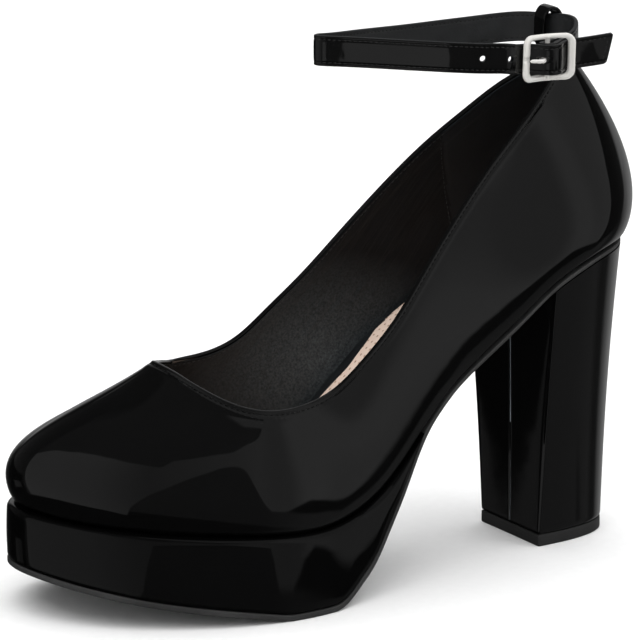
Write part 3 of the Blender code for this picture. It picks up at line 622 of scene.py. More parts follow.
def leather(name, base, rough, grain=900.0, depth=0.00007, crease=True, sheen=0.0, spec=0.5, painted_sheen=0.0, cool=1.0):
    m = Nodes(name, (base, base, base), rough)
    m.set("Specular IOR Level", spec)
    if sheen:
        m.set("Sheen Weight", sheen)
        m.set("Sheen Roughness", 0.4)
    cells = m.cells(grain, "F1")
    pores = m.noise(grain * 2.2, 3.0, 0.6)
    tint = m.noise(90.0, 4.0, 0.6)
    plain = m.ramp(tint, (
        (0.3, (base * 0.62 / cool, base * 0.7, base * 0.78 * cool)),
        (0.7, (base * 1.2 / cool, base * 1.35, base * 1.5 * cool)),
    ))
    if painted_sheen:
        # painted sheen: a paler, grainy place at the ball of the inner side, a painted highlight standing in for light
        # falling on the lining there
        mapping = m.add("ShaderNodeMapping")
        mapping.inputs["Location"].default_value = tuple(-c / r for c, r in zip(PAINTED_SHEEN_CENTRE, (0.056, 0.06, 0.040)))
        mapping.inputs["Scale"].default_value = tuple(1 / r for r in (0.056, 0.06, 0.040))
        m.link(m.coords, mapping.inputs["Vector"])
        ball = m.add("ShaderNodeTexGradient")
        ball.gradient_type = "SPHERICAL"
        m.link(mapping.outputs["Vector"], ball.inputs["Vector"])
        speck = m.noise(grain * 1.3, 2.0, 0.7)
        part = m.add("ShaderNodeMath")
        part.operation = "MULTIPLY"
        m.link(ball.outputs["Fac"], part.inputs[0])
        m.link(m.ramp(speck, ((0.35, 0.35), (0.7, 1.0))), part.inputs[1])
        mix = m.add("ShaderNodeMix")
        mix.data_type = "RGBA"
        mix.inputs[7].default_value = (painted_sheen * 0.84, painted_sheen * 0.93, painted_sheen * 0.97, 1.0)
        m.link(part.outputs[0], mix.inputs[0])
        m.link(plain, mix.inputs[6])
        plain = mix.outputs[2]
    m.link(plain, m.shader.inputs["Base Color"])
    m.range_to(pores, "Roughness", rough - 0.08, rough + 0.12)
    layers = [(cells, 0.6, depth), (pores, 0.5, depth * 0.6)]
    if crease:
        folds = m.noise(34.0, 3.0, 0.55, ((0.0, math.radians(-57.0), 0.0), (1.0, 1.0, 0.085)))
        layers.insert(0, (folds, 0.6, 0.0009))
    m.bumps(layers)
    return m.mat


def rubber(name, base, rough):
    m = Nodes(name, (base, base, base), rough)
    m.set("Specular IOR Level", 0.4)
    grit = m.noise(2600.0, 2.0, 0.6)
    wear = m.noise(60.0, 4.0, 0.6)
    m.colour_from(wear, (
        (0.3, (base * 0.8,) * 3), (0.7, (base * 1.25,) * 3),
    ))
    m.range_to(grit, "Roughness", rough - 0.08, rough + 0.1)
    m.bumps(((wear, 0.3, 0.00008), (grit, 0.5, 0.00005)))
    return m.mat


def thread(name, base):
    m = Nodes(name, (base, base, base), 0.45)
    m.set("Specular IOR Level", 0.12)
    twist = m.add("ShaderNodeTexWave")
    twist.inputs["Scale"].default_value = 900.0
    twist.bands_direction = "DIAGONAL"
    m.link(m.coords, twist.inputs["Vector"])
    m.colour_from(twist.outputs["Fac"], ((0.2, (base * 0.6,) * 3), (0.8, (base * 1.3,) * 3)))
    m.bumps(((twist.outputs["Fac"], 0.5, 0.00006),))
    return m.mat


def metal(name):
    m = Nodes(name, (0.96, 0.94, 0.89), 0.18, 0.5)
    scratches = m.noise(260.0, 3.0, 0.6, ((0.0, 0.2, 0.3), (1.0, 1.0, 0.08)))
    smudge = m.noise(140.0, 3.0, 0.5)
    m.colour_from(smudge, ((0.3, (0.93, 0.91, 0.86)), (0.7, (0.98, 0.965, 0.93))))
    m.range_to(smudge, "Roughness", 0.14, 0.26)
    m.bumps(((scratches, 0.25, 0.00001), (smudge, 0.2, 0.00005)))
    return m.mat


def sock(name):
    """Beige cover with a close pattern of fine holes."""
    m = Nodes(name, (0.90, 0.70, 0.58), 0.62)
    m.set("Specular IOR Level", 0.35)
    mapping = m.add("ShaderNodeMapping")
    mapping.inputs["Scale"].default_value = (430.0, 430.0, 0.0)
    m.link(m.coords, mapping.inputs["Vector"])
    dots = m.add("ShaderNodeTexVoronoi")
    dots.inputs["Scale"].default_value = 1.0
    dots.inputs["Randomness"].default_value = 0.0
    m.link(mapping.outputs["Vector"], dots.inputs["Vector"])
    hole = m.add("ShaderNodeMapRange")
    hole.inputs["From Min"].default_value = 0.13
    hole.inputs["From Max"].default_value = 0.19
    m.link(dots.outputs["Distance"], hole.inputs["Value"])
    tint = m.noise(70.0, 4.0, 0.6)
    soft = m.ramp(tint, ((0.3, (0.86, 0.67, 0.555)), (0.7, (0.92, 0.73, 0.61))))
    mix = m.add("ShaderNodeMix")
    mix.data_type = "RGBA"
    mix.inputs[6].default_value = (0.52, 0.34, 0.24, 1.0)
    m.link(hole.outputs["Result"], mix.inputs[0])
    m.link(soft, mix.inputs[7])
    m.link(mix.outputs[2], m.shader.inputs["Base Color"])
    grain = m.noise(1500.0, 2.0, 0.6)
    m.bumps(((grain, 0.4, 0.00006), (hole.outputs["Result"], 0.7, 0.00025)))
    return m.mat


PATENT = patent("patent_upper")
PATENT_FOLD = patent("patent_fold", coat_rough=0.06)
PATENT_PLATFORM = patent("patent_platform", wave=0.00006, coat=0.6)
PATENT_HEEL = patent("patent_heel", wave=0.00007, wave_scale=45.0)
PATENT_STRAP = patent("patent_strap", wave=0.00014, wave_scale=130.0, coat_rough=0.05)
PATENT_LOOP = patent("patent_loop", wave=0.0001, wave_scale=150.0, coat_rough=0.08)
# the lining carries a painted sheen: a paler, grainy place at the ball of the inner side that stands in for light
# falling there
LINING = leather("lining_leather", 0.003, 0.48, spec=0.14, painted_sheen=0.085, cool=1.16)
GRIP = leather("lining_heel_grip", 0.0045, 0.6, grain=1600.0, depth=0.00004, crease=False, sheen=0.05, spec=0.25, cool=1.16)
STRAP_LINING = leather("strap_lining", 0.014, 0.5, grain=1100.0, depth=0.00006, crease=False, cool=0.94)
EDGE_PAINT = leather("edge_paint", 0.004, 0.45, grain=1400.0, depth=0.00005, crease=False)
# pale grey colour for the thin line down the middle of the heel breast's seam
PALE_SEAM_LINE = leather("pale_seam_line", 0.30, 0.5, grain=1400.0, depth=0.00003, crease=False)
THREAD = thread("thread_black", 0.005)
THREAD_LIGHT = thread("thread_lining", 0.035)
THREAD_STRAP = thread("thread_strap", 0.018)
SOLE = rubber("rubber_sole", 0.027, 0.5)
TREAD = rubber("rubber_tread", 0.017, 0.55)
METAL = metal("metal_frame")
PIN = metal("metal_prong")
SOCK = sock("sock_cover")
BOARD = leather("insole_board", 0.01, 0.7, grain=1400.0, depth=0.00004, crease=False)


# ---------------------------------------------------------------- upper
AROUND = 520
FOLD_R = WALL / 2
GROOVE_AT = 2.2          # stitch row, below the top edge


def seam_x(z):
    """Front edge of the heel grip inside the shoe, leaning with height."""
    return -12.4 - (np.asarray(z, float) - 130.0) * 0.31


def make_upper():
    u = stations(AROUND)
    _, down = depth_table(u)
    total = down[:, 0]
    near = np.arange(7.0, 0.85, -0.25)
    far = np.linspace(0, 1, 44)[:-1]

    def depths(rows_far, rows_near):
        d_far = 7.0 + (total[:, None] - 7.0) * (1 - rows_far[None, :])
        d_near = np.broadcast_to(rows_near, (len(u), len(rows_near)))
        return np.concatenate([d_far, d_near], 1)

    depth = depths(far, near)
    t, _ = t_at_depth(u, depth)
    place_, normal, up = wall_frame(u, t)
    along = np.concatenate([[0.0], np.cumsum(np.linalg.norm(np.diff(place_[:, -1], axis=0), axis=1))])
    pucker = np.sin(2 * math.pi * along / 2.05)[:, None]
    groove = np.exp(-(((depth - GROOVE_AT) / 0.5) ** 2))
    swell = 0.10 * np.exp(-(((depth - 1.1) / 0.6) ** 2)) + 0.07 * np.exp(-(((depth - 3.6) / 0.9) ** 2))
    offset = -0.17 * groove * (0.75 + 0.25 * pucker) + swell * (1 + 0.35 * pucker)
    # the lower edge turns in over the sole's edge
    tuck = 1.0 * np.exp(-(((total[:, None] - depth) / 1.1) ** 2))
    outer = place_ + normal * (offset - tuck)[:, :, None]

    c_place, c_normal, c_up = place_[:, -1], normal[:, -1], up[:, -1]
    centre = c_place - c_normal * FOLD_R
    arc = []
    for a in np.linspace(0, math.pi, 11)[1:-1]:
        arc.append(centre + (c_normal * math.cos(a) + c_up * math.sin(a)) * FOLD_R)
    arc = np.stack(arc, 1)

    inner_near = np.array([0.9, 1.15, 1.25, 1.4] + list(np.arange(1.65, 7.01, 0.25)) + [7.5, 8.0, 8.6, 9.2, 9.8, 10.6])
    inner_far = np.linspace(0, 1, 46)[1:]
    d_in = np.concatenate([
        np.broadcast_to(inner_near, (len(u), len(inner_near))),
        10.6 + (total[:, None] - 10.6) * inner_far[None, :],
    ], 1)
    d_in = np.minimum(d_in, total[:, None])
    t_in, _ = t_at_depth(u, d_in)
    p_in, n_in, _ = wall_frame(u, t_in)
    thick = np.where(d_in < 1.2, WALL - 0.28, WALL)
    thick = thick + 0.02 * 0 - 0.14 * np.exp(-(((d_in - 2.5) / 0.45) ** 2)) * (0.8 + 0.2 * pucker)
    # the stiffened edge band ends in a soft step
    thick = thick + 0.22 * (1 - smoothstep(6.6, 9.0, d_in)) * smoothstep(1.2, 1.5, d_in)
    # the heel grip lies over the lining at the back
    over = smoothstep(-0.35, 0.35, p_in[:, :, 0] - seam_x(p_in[:, :, 2]))
    thick = thick + 0.34 * over * smoothstep(1.2, 1.5, d_in)
    # creases on the inner side's lining
    x, y, z = (p_in[:, :, i] for i in range(3))
    for cx, cz, lean, long_, wide, deep in CREASES:
        a = math.radians(lean)
        s = (x - cx) * math.cos(a) + (z - cz) * math.sin(a)
        q = -(x - cx) * math.sin(a) + (z - cz) * math.cos(a)
        q = q + 1.3 * np.sin(s * 0.32 + cx)
        thick = thick + deep * np.exp(-((s / long_) ** 2) - ((q / wide) ** 2)) * (y > 0)
    inner = p_in - n_in * thick[:, :, None]
    rows = np.concatenate([outer, arc, inner], 1)
    nu, nv = rows.shape[:2]
    faces = tube_faces(nu, nv, True, True)
    k = np.arange(nv)
    first_in = outer.shape[1] + arc.shape[1]
    kind = np.where(k < outer.shape[1] - 1, 0, np.where(k < first_in + 2, 1, 2))
    index = np.tile(kind, nu)
    grip = np.zeros((nu, nv), bool)
    grip[:, first_in:] = over > 0.5
    index = np.where((index == 2) & grip.reshape(-1), 3, index)
    obj = new_object("upper_shell", rows.reshape(-1, 3), faces, (PATENT, PATENT_FOLD, LINING, GRIP), index, 60.0)

    # thread along the collar, outside and inside
    tt, _ = t_at_depth(u, np.full((len(u), 1), GROOVE_AT))
    p, n, _ = wall_frame(u, tt)
    line = np.concatenate([p[:, 0], p[:1, 0]])
    nor = np.concatenate([n[:, 0], n[:1, 0]])
    # it starts and ends at the back of the heel
    roll = AROUND // 2
    line = np.roll(line[:-1], -roll, 0)
    nor = np.roll(nor[:-1], -roll, 0)
    parts = thread_row(line, nor, 2.05, 1.6, 0.2, -0.06)
    points, tf = merge_parts(parts)
    outside = new_object("collar_thread", points, tf, (THREAD,), None, 60.0)
    tt, _ = t_at_depth(u, np.full((len(u), 1), 2.5))
    p, n, _ = wall_frame(u, tt)
    p = p[:, 0] - n[:, 0] * (WALL + 0.2)
    line = np.roll(p, -roll, 0)
    nor = np.roll(-n[:, 0], -roll, 0)
    parts = thread_row(line, nor, 2.05, 1.6, 0.2, -0.02)
    points, tf = merge_parts(parts)
    inside = new_object("collar_thread_inner", points, tf, (THREAD_LIGHT,), None, 60.0)
    return obj, outside, inside


CREASES = (
    # x      z      lean  long  wide  depth
    (-52.0, 86.0, 62.0, 9.0, 0.9, 0.20),
    (-48.0, 90.0, 58.0, 10.0, 0.8, -0.18),
    (-44.0, 92.0, 60.0, 9.0, 0.9, 0.22),
    (-58.0, 82.0, 66.0, 8.0, 1.0, -0.16),
    (-63.0, 80.0, 58.0, 9.0, 0.9, 0.16),
    (-39.0, 97.0, 55.0, 10.0, 0.9, -0.18),
    (-35.0, 100.0, 58.0, 9.0, 0.8, 0.18),
    (-69.0, 74.0, 60.0, 8.0, 1.0, 0.14),
    (-55.0, 92.0, 52.0, 8.0, 0.8, 0.14),
    (-31.0, 105.0, 55.0, 8.0, 0.9, -0.14),
)

UPPER, COLLAR_OUT, COLLAR_IN = make_upper()


def make_grip_thread():
    """Stitches along the heel grip's front edge, on both sides of the shoe."""
    parts = []
    for side in (-1, 1):
        rows = []
        for z in np.arange(98.0, 176.0, 0.6):
            x0 = float(seam_x(z)) - 1.7
            rows.append((x0, z))
        u = np.linspace(0, ROUND / 2, 700) if side < 0 else np.linspace(ROUND / 2, ROUND, 700)
        t = np.linspace(0.05, 0.97, 90)
        p, n, _ = wall_frame(u, t)
        p = p - n * (WALL + 0.12)
        flat = p.reshape(-1, 3)
        nor = n.reshape(-1, 3)
        line, normals = [], []
        for x0, z in rows:
            d = (flat[:, 0] - x0) ** 2 + (flat[:, 2] - z) ** 2
            k = int(np.argmin(d))
            if d[k] < 1.2:
                line.append(flat[k])
                normals.append(-nor[k])
        if len(line) > 8:
            line = soften(resample(np.array(line), 0.6), 8)
            normals = unit(soften(resample(np.array(normals), 0.02)[:: max(1, 1)], 2))
            s = np.linspace(0, 1, len(normals))
            want = np.linspace(0, 1, len(line))
            normals = unit(np.stack([np.interp(want, s, normals[:, i]) for i in range(3)], 1))
            parts += thread_row(line, normals, 2.2, 1.5, 0.17, 0.02)
    points, faces = merge_parts(parts)
    return new_object("grip_thread", points, faces, (THREAD_LIGHT,), None, 60.0)


GRIP_THREAD = make_grip_thread()


# ---------------------------------------------------------------- insole cover
# the cover is cut narrower than the insole in front of the arch: lay-out x, width of the dark rim
SOCK_RIM = ((-200.0, 0.8), (-80.0, 1.2), (-64.0, 2.2), (-55.0, 3.9), (-47.0, 2.4), (-41.5, 0.05))
SOCK_EDGE = (-26.0, -29.5, -33.0, -37.0)       # how far back each row of the rolled edge is dark


def make_sock():
    count = 320
    loops = []
    profile = (
        (1.4, 0.2), (0.75, 0.35), (0.35, 0.9), (0.3, 1.6), (0.3, None),
    )
    for inset, up in profile[:4]:
        x, y = outline(count, -(INSOLE_INSET + inset))
        loops.append(np.stack([x, y, feather_z(x) + up], 1))
    for inset, below in ((0.32, 1.0), (0.5, 0.5), (0.9, 0.18), (1.5, 0.05), (2.2, 0.0)):
        x, y = outline(count, -(INSOLE_INSET + inset))
        loops.append(np.stack([x, y, feather_z(x) + insole_t(x) - below], 1))
    half = count // 2
    points = np.concatenate(loops)
    faces = []
    for k in range(len(loops) - 1):
        a, b = k * count, (k + 1) * count
        for i in range(count):
            j = (i + 1) % count
            faces.append((a + i, a + j, b + j, b + i))
    # top: rows straight across, gently hollowed under the heel and raised at the arch
    across = 30
    top = loops[-1]
    extra = []
    ids = np.full((half + 1, across + 1), -1)
    base = len(points)
    for i in range(half + 1):
        left, right = top[i], top[(count - i) % count]
        for k in range(across + 1):
            if k == 0:
                ids[i, k] = (len(loops) - 1) * count + i
            elif k == across:
                ids[i, k] = (len(loops) - 1) * count + (count - i) % count
            else:
                # the first and last columns are a dark rim, widest at the arch
                rim = float(np.interp(left[0], *zip(*SOCK_RIM))) / max(1.0, float(np.linalg.norm(right - left)))
                rim = min(rim, 0.2)
                f = rim + (1 - 2 * rim) * (k - 1) / (across - 2)
                p = left * (1 - f) + right * f
                dish = math.sin(math.pi * f) ** 2
                p = p.copy()
                p[2] += -0.5 * dish * float(smoothstep(-20, 20, p[0]))
                extra.append(p)
                ids[i, k] = base + len(extra) - 1
    points = np.concatenate([points, np.array(extra)])
    dark = set()
    for i in range(half):
        for k in range(across):
            face = [ids[i, k], ids[i + 1, k], ids[i + 1, k + 1], ids[i, k + 1]]
            face = list(dict.fromkeys(int(v) for v in face))
            if len(face) > 2:
                if (k == 0 or k == across - 1) and top[i][0] < SOCK_RIM[-1][0]:
                    dark.add(len(faces))
                faces.append(tuple(face))
    bottom = []
    for i in range(half):
        face = list(dict.fromkeys([i, i + 1, (count - i - 1) % count, (count - i) % count]))
        if len(face) > 2:
            bottom.append(tuple(face))
    faces += bottom
    # the cover ends under the edge: below it is the dark board
    index = [0] * len(faces)
    for k, face in enumerate(faces):
        ring = k // count - 4
        edge = 0 <= ring < 4 and points[face[0]][0] < SOCK_EDGE[ring]
        if edge or k in dark or (min(face) < 4 * count and max(face) < 5 * count):
            index[k] = 1
    obj = new_object("insole_sock", points, faces, (SOCK, BOARD), index, 50.0)
    work = bmesh.new()
    work.from_mesh(obj.data)
    bmesh.ops.remove_doubles(work, verts=work.verts, dist=1e-6)
    work.to_mesh(obj.data)
    work.free()
    return obj


SOCK_PIECE = make_sock()


# ---------------------------------------------------------------- platform and outsole
def capped_slab(name, loops, mats, sharp=35.0):
    """Open loops from the outer side round the toe to the inner side, with a flat end."""
    count = len(loops[0])
    points = np.concatenate(loops)
    faces = []
    for k in range(len(loops) - 1):
        a, b = k * count, (k + 1) * count
        for i in range(count - 1):
            faces.append((a + i, a + i + 1, b + i + 1, b + i))
        faces.append((a, b, b + count - 1, a + count - 1))
    for base in (0, (len(loops) - 1) * count):
        for i in range(count // 2):
            face = list(dict.fromkeys(
                [base + i, base + i + 1, base + count - 2 - i, base + count - 1 - i]
            ))
            if len(face) > 2:
                faces.append(tuple(face))
    return new_object(name, points, faces, mats, None, sharp)


def make_platform():
    count = 640
    half = count // 2

    def base(x):
        return outsole_top(x) + GAP

    def top(x):
        return feather_z(x) - GAP

    def level(extra, z_of):
        x, y = outline(count, lambda v: sole_out(v) + extra)
        z = z_of(x)
        lat = [(x[i], y[i], z[i]) for i in range(0, half) if x[i] < PLATFORM_END - 0.3]
        med = [(x[-i], y[-i], z[-i]) for i in range(1, half) if x[-i] < PLATFORM_END - 0.3]
        n = min(len(lat), len(med) + 1)
        lat, med = lat[:n], med[: n - 1]
        for side in (lat, med):
            a = np.array(side[-1])
            number = len(side) if side is lat else count - len(side) - 1
            b = np.array((x[number], y[number], z[number]))
            f = (PLATFORM_END - a[0]) / (b[0] - a[0])
            p = a + (b - a) * f
            side.append((PLATFORM_END, p[1], float(z_of(np.array([PLATFORM_END]))[0])))
        return np.array(lat[::-1] + med)

    loops = [level(-1.4, base)]
    # bottom rounding, wall, top rounding
    for a in np.linspace(0, math.pi / 2, 6):
        loops.append(level(
            -1.0 * (1 - math.sin(a)),
            lambda x, a=a: base(x) + np.minimum(1.1, 0.16 * (top(x) - base(x))) * (1 - math.cos(a)),
        ))
    for f in np.linspace(0.1, 0.8, 9):
        bow = 0.35 * math.sin(math.pi * f)
        loops.append(level(bow * 0.6, lambda x, f=f: base(x) + np.minimum(1.1, 0.16 * (top(x) - base(x))) + (top(x) - base(x) - np.minimum(3.4, 0.3 * (top(x) - base(x))) - np.minimum(1.1, 0.16 * (top(x) - base(x)))) * f))
    for a in np.linspace(0, math.pi / 2, 9):
        loops.append(level(
            -3.0 * (1 - math.cos(a)),
            lambda x, a=a: top(x) - np.minimum(3.2, 0.28 * (top(x) - base(x))) * (1 - math.sin(a)),
        ))
    loops.append(level(-4.6, top))
    return capped_slab("platform_cover", loops, (PATENT_PLATFORM,), 50.0)


PLATFORM = make_platform()


def make_outsole():
    count = 480
    half = count // 2
    levels = []
    for a in np.linspace(0, math.pi / 2, 5):
        levels.append((-0.5 * (1 - math.sin(a)), lambda x, a=a: underside_z(x) + 0.45 * (1 - math.cos(a))))
    for f in (0.35, 0.7):
        levels.append((0.05, lambda x, f=f: underside_z(x) + 0.45 + (outsole_top(x) - 0.25 - underside_z(x) - 0.45) * f))
    for a in np.linspace(0, math.pi / 2, 4):
        levels.append((-0.3 * (1 - math.cos(a)), lambda x, a=a: outsole_top(x) - 0.25 * (1 - math.sin(a))))
    loops = []
    for extra, z_of in levels:
        x, y = outline(count, lambda v, e=extra: sole_out(v) + e)
        loops.append(np.stack([x, y, z_of(x)], 1))
    points = np.concatenate(loops)
    faces = []
    for k in range(len(loops) - 1):
        a, b = k * count, (k + 1) * count
        for i in range(count):
            j = (i + 1) % count
            faces.append((a + i, a + j, b + j, b + i))
    # plain cap on top, a grooved one underneath
    top0 = (len(loops) - 1) * count
    for i in range(half):
        face = list(dict.fromkeys([top0 + i, top0 + i + 1, top0 + count - i - 1, top0 + (count - i) % count]))
        if len(face) > 2:
            faces.append(tuple(face))
    across = 56
    ids = np.full((half + 1, across + 1), -1)
    extra_points = []
    base = len(points)
    low = loops[0]
    for i in range(half + 1):
        left, right = low[i], low[(count - i) % count]
        width = abs(right[1] - left[1])
        for k in range(across + 1):
            if k == 0:
                ids[i, k] = i
            elif k == across:
                ids[i, k] = (count - i) % count
            else:
                f = k / across
                p = left * (1 - f) + right * f
                p = p.copy()
                edge = min(f, 1 - f) * width
                inside = float(smoothstep(3.0, 5.0, edge))
                fore = float(smoothstep(-186.0, -180.0, p[0]) * (1 - smoothstep(-99.0, -95.0, p[0])))
                wave = math.sin((p[0] + 2.2 * math.sin(p[1] * 0.35)) * 2 * math.pi / 4.2)
                rib = float(smoothstep(0.15, 0.6, wave))
                p[2] += 0.45 * rib * inside * fore
                extra_points.append(p)
                ids[i, k] = base + len(extra_points) - 1
    points = np.concatenate([points, np.array(extra_points)])
    for i in range(half):
        for k in range(across):
            face = [ids[i, k], ids[i + 1, k], ids[i + 1, k + 1], ids[i, k + 1]]
            face = list(dict.fromkeys(int(v) for v in face))
            if len(face) > 2:
                faces.append(tuple(face))
    obj = new_object("outsole_sheet", points, faces, (SOLE,), None, 40.0)
    work = bmesh.new()
    work.from_mesh(obj.data)
    bmesh.ops.remove_doubles(work, verts=work.verts, dist=1e-6)
    work.to_mesh(obj.data)
    work.free()
    return obj


OUTSOLE = make_outsole()


# ---------------------------------------------------------------- heel and its tread
def tread_plan(count):
    points = []
    for a in np.linspace(0, math.pi, count):
        c, s = math.cos(a), math.sin(a)
        y = -TREAD_HALF * math.copysign(abs(c) ** (2 / TREAD_POWER), c)
        x = TREAD_DEPTH * abs(s) ** (2 / TREAD_POWER)
        points.append((x, y))
    return np.array(points)


def seat_plan():
    halves = []
    for a, b in ((0, ROUND / 2), (ROUND / 2, ROUND)):
        u = np.linspace(a, b, 3000)
        x, y, normal = feather_line(u)
        x, y = x + normal[:, 0] * SHANK_OUT, y + normal[:, 1] * SHANK_OUT
        keep = x > BREAST_TOP_X
        halves.append(np.stack([x[keep], y[keep]], 1))
    return halves


def by_halves(first, second, count):
    out = []
    for side in (first, second):
        s = run_lengths(side)
        want = np.linspace(0, s[-1], count + 1)
        out.append(np.stack([np.interp(want, s, side[:, i]) for i in (0, 1)], 1))
    return np.concatenate([out[0], out[1][1:]])


D_HALF = 110             # points on each half of the D
BREAST = 61              # points across the breast, both corners included


def d_loop(plan, x_front):
    """Closes a D with a straight breast whose points crowd at the seam and corners."""
    plan = plan.copy()
    plan[0, 0] = plan[-1, 0] = x_front
    a, b = plan[-1], plan[0]
    f = np.linspace(-1, 1, BREAST)
    f = np.sign(f) * np.abs(f) ** 1.8
    f = (f + 1) / 2
    f = f * 0.9 + 0.1 * (1 - np.cos(np.pi * f)) / 2
    line = a + (b - a) * f[:, None]
    return np.concatenate([plan, line[1:-1]])


def round_corner(loop, radius_passes):
    """Softens the two front corners only."""
    soft = loop.copy()
    n = len(loop)
    corners = (0, 2 * D_HALF)
    fine = []
    for c in corners:
        near = (np.arange(n) - c + n // 2) % n - n // 2
        fine.append(np.abs(near) <= 7)
    mask = fine[0] | fine[1]
    for _ in range(radius_passes):
        avg = soft * 0.5 + (np.roll(soft, 1, 0) + np.roll(soft, -1, 0)) * 0.25
        soft[mask] = avg[mask]
    return soft


def corner_dense(plan):
    """Moves points along each half so that they crowd near the front corners."""
    out = []
    for side, flip in ((plan[: D_HALF + 1], False), (plan[D_HALF:], True)):
        s = run_lengths(side)
        f = np.linspace(0, 1, D_HALF + 1)
        g = f**1.7 if not flip else 1 - (1 - f) ** 1.7
        want = g * s[-1]
        out.append(np.stack([np.interp(want, s, side[:, i]) for i in (0, 1)], 1))
    return np.concatenate([out[0], out[1][1:]])


def heel_loops():
    half = tread_plan(2001)
    low = by_halves(half[:1001], half[1000:], D_HALF)
    lat, med = seat_plan()
    high = by_halves(lat, med, D_HALF)
    levels = [0.0, 0.002, 0.005, 0.009, 0.014] + list(np.linspace(0.02, 1.0, 70))
    loops = []
    for f in levels:
        plan = low * (1 - f) + high * f
        draw = HEEL_WAIST * math.sin(math.pi * f)
        inward = unit(plan - np.array([14.0, 0.0]))
        plan = plan - inward * draw * (np.abs(plan[:, 1:2]) > 0.0)
        plan = corner_dense(plan)
        loop = d_loop(plan, BREAST_TOP_X * f)
        loop = round_corner(loop, 30)
        if f < 0.014:
            # the cover turns under at the bottom
            turn = 0.45 * (1 - math.sqrt(max(0.0, 1 - (1 - f / 0.014) ** 2)))
            centre = np.array([18.0, 0.0])
            loop = loop - unit(loop - centre) * turn
        # seam down the breast: the cover's two edges turn in and meet
        n = len(loop)
        k = np.arange(n)
        on_breast = k > 2 * D_HALF
        y = loop[:, 1]
        groove = np.exp(-((y / 0.30) ** 2)) * 0.35
        lip = 0.16 * np.exp(-(((np.abs(y) - 0.75) / 0.4) ** 2))
        loop[:, 0] = loop[:, 0] + np.where(on_breast, groove - lip, 0.0)
        hollow = 0.35 * (1 - (y / 18.0) ** 2)
        loop[:, 0] = loop[:, 0] + np.where(on_breast, np.clip(hollow, 0, None), 0.0) * math.sin(math.pi * f)
        z_top = underside_z(loop[:, 0]) - GAP
        z = (LIFT + GAP) * (1 - f) + z_top * f
        loops.append(np.concatenate([loop, z[:, None]], 1))
    return loops


def stacked(name, loops, mats, sharp=35.0):
    """Closed loops stacked upwards, capped top and bottom by fans from their middles."""
    count = len(loops[0])
    points = np.concatenate(loops)
    faces = []
    for k in range(len(loops) - 1):
        a, b = k * count, (k + 1) * count
        for i in range(count):
            j = (i + 1) % count
            faces.append((a + i, a + j, b + j, b + i))
    extra = []
    index = [0] * len(faces)
    if len(mats) > 1:
        # pale grey colour on the faces down the middle of the breast's seam, where the cover's two edges meet
        for k, face in enumerate(faces):
            y = np.mean([abs(points[v][1]) for v in face])
            i = face[0] % count
            if i > 2 * D_HALF and y < 0.17:
                index[k] = 1
    for base, loop in ((0, loops[0]), ((len(loops) - 1) * count, loops[-1])):
        centre = len(points) + len(extra)
        extra.append(loop.mean(0))
        for i in range(count):
            faces.append((base + i, base + (i + 1) % count, centre))
            index.append(0)
    points = np.concatenate([points, np.array(extra)])
    return new_object(name, points, faces, mats, index, sharp)


HEEL = stacked("heel_cover_piece", heel_loops(), (PATENT_HEEL, PALE_SEAM_LINE), 50.0)


def make_lift():
    half = tread_plan(2001)
    plan = by_halves(half[:1001], half[1000:], D_HALF)
    plan = corner_dense(plan)
    loop = round_corner(d_loop(plan, 0.0), 10)
    centre = np.array([18.0, 0.0])
    loops = []
    profile = [(0.55 * (1 - math.sin(a)), 0.5 * (1 - math.cos(a))) for a in np.linspace(0.15, math.pi / 2, 5)]
    profile[0] = (0.5, 0.0)
    profile += [(0.0, 1.6), (0.0, 2.8), (0.05, LIFT - 0.35), (0.15, LIFT - 0.1), (0.4, LIFT)]
    for inset, z in profile:
        p = loop - unit(loop - centre) * (inset + 0.1)
        loops.append(np.concatenate([p, np.full((len(p), 1), z)], 1))
    return stacked("lift_piece", loops, (TREAD,), 40.0)


LIFT_PIECE = make_lift()


# ---------------------------------------------------------------- strap
def strap_section():
    """Cross-section of the strap: (n outwards, h up, face kind)."""
    t, h = STRAP_T / 2, STRAP_H / 2
    rows = []

    def channel(v):
        return 0.13 * math.exp(-(((abs(v) - (h - 1.35)) / 0.38) ** 2))

    def crown(v):
        return 0.16 * (1 - (v / h) ** 2)

    heights = list(np.linspace(-(h - 0.35), -(h - 2.2), 9)) + list(np.linspace(-(h - 2.9), h - 2.9, 7)) + list(np.linspace(h - 2.2, h - 0.35, 9))
    for v in heights:
        rows.append((t - 0.12 + crown(v) * 0.8 - channel(v), v, 0))
    for a in np.linspace(0, math.pi, 7)[1:-1]:
        rows.append(((t - 0.12) * math.cos(a), h - 0.35 + 0.35 * math.sin(a), 2))
    for v in heights[::-1]:
        rows.append((-(t - 0.1) + channel(v) * 0.8 - 0.05 * (1 - (v / h) ** 2), v, 1))
    for a in np.linspace(0, math.pi, 7)[1:-1]:
        rows.append((-(t - 0.12) * math.cos(a), -(h - 0.35) - 0.35 * math.sin(a), 2))
    return rows


STRAP = strap_path()


def strap_cut(h):
    """How far the tip is cut back at each height."""
    half = STRAP_H / 2
    f = 0.5 - h / STRAP_H
    corner = 0.9 * smoothstep(half - 1.3, half, abs(h)) ** 2
    return 3.6 * f + corner


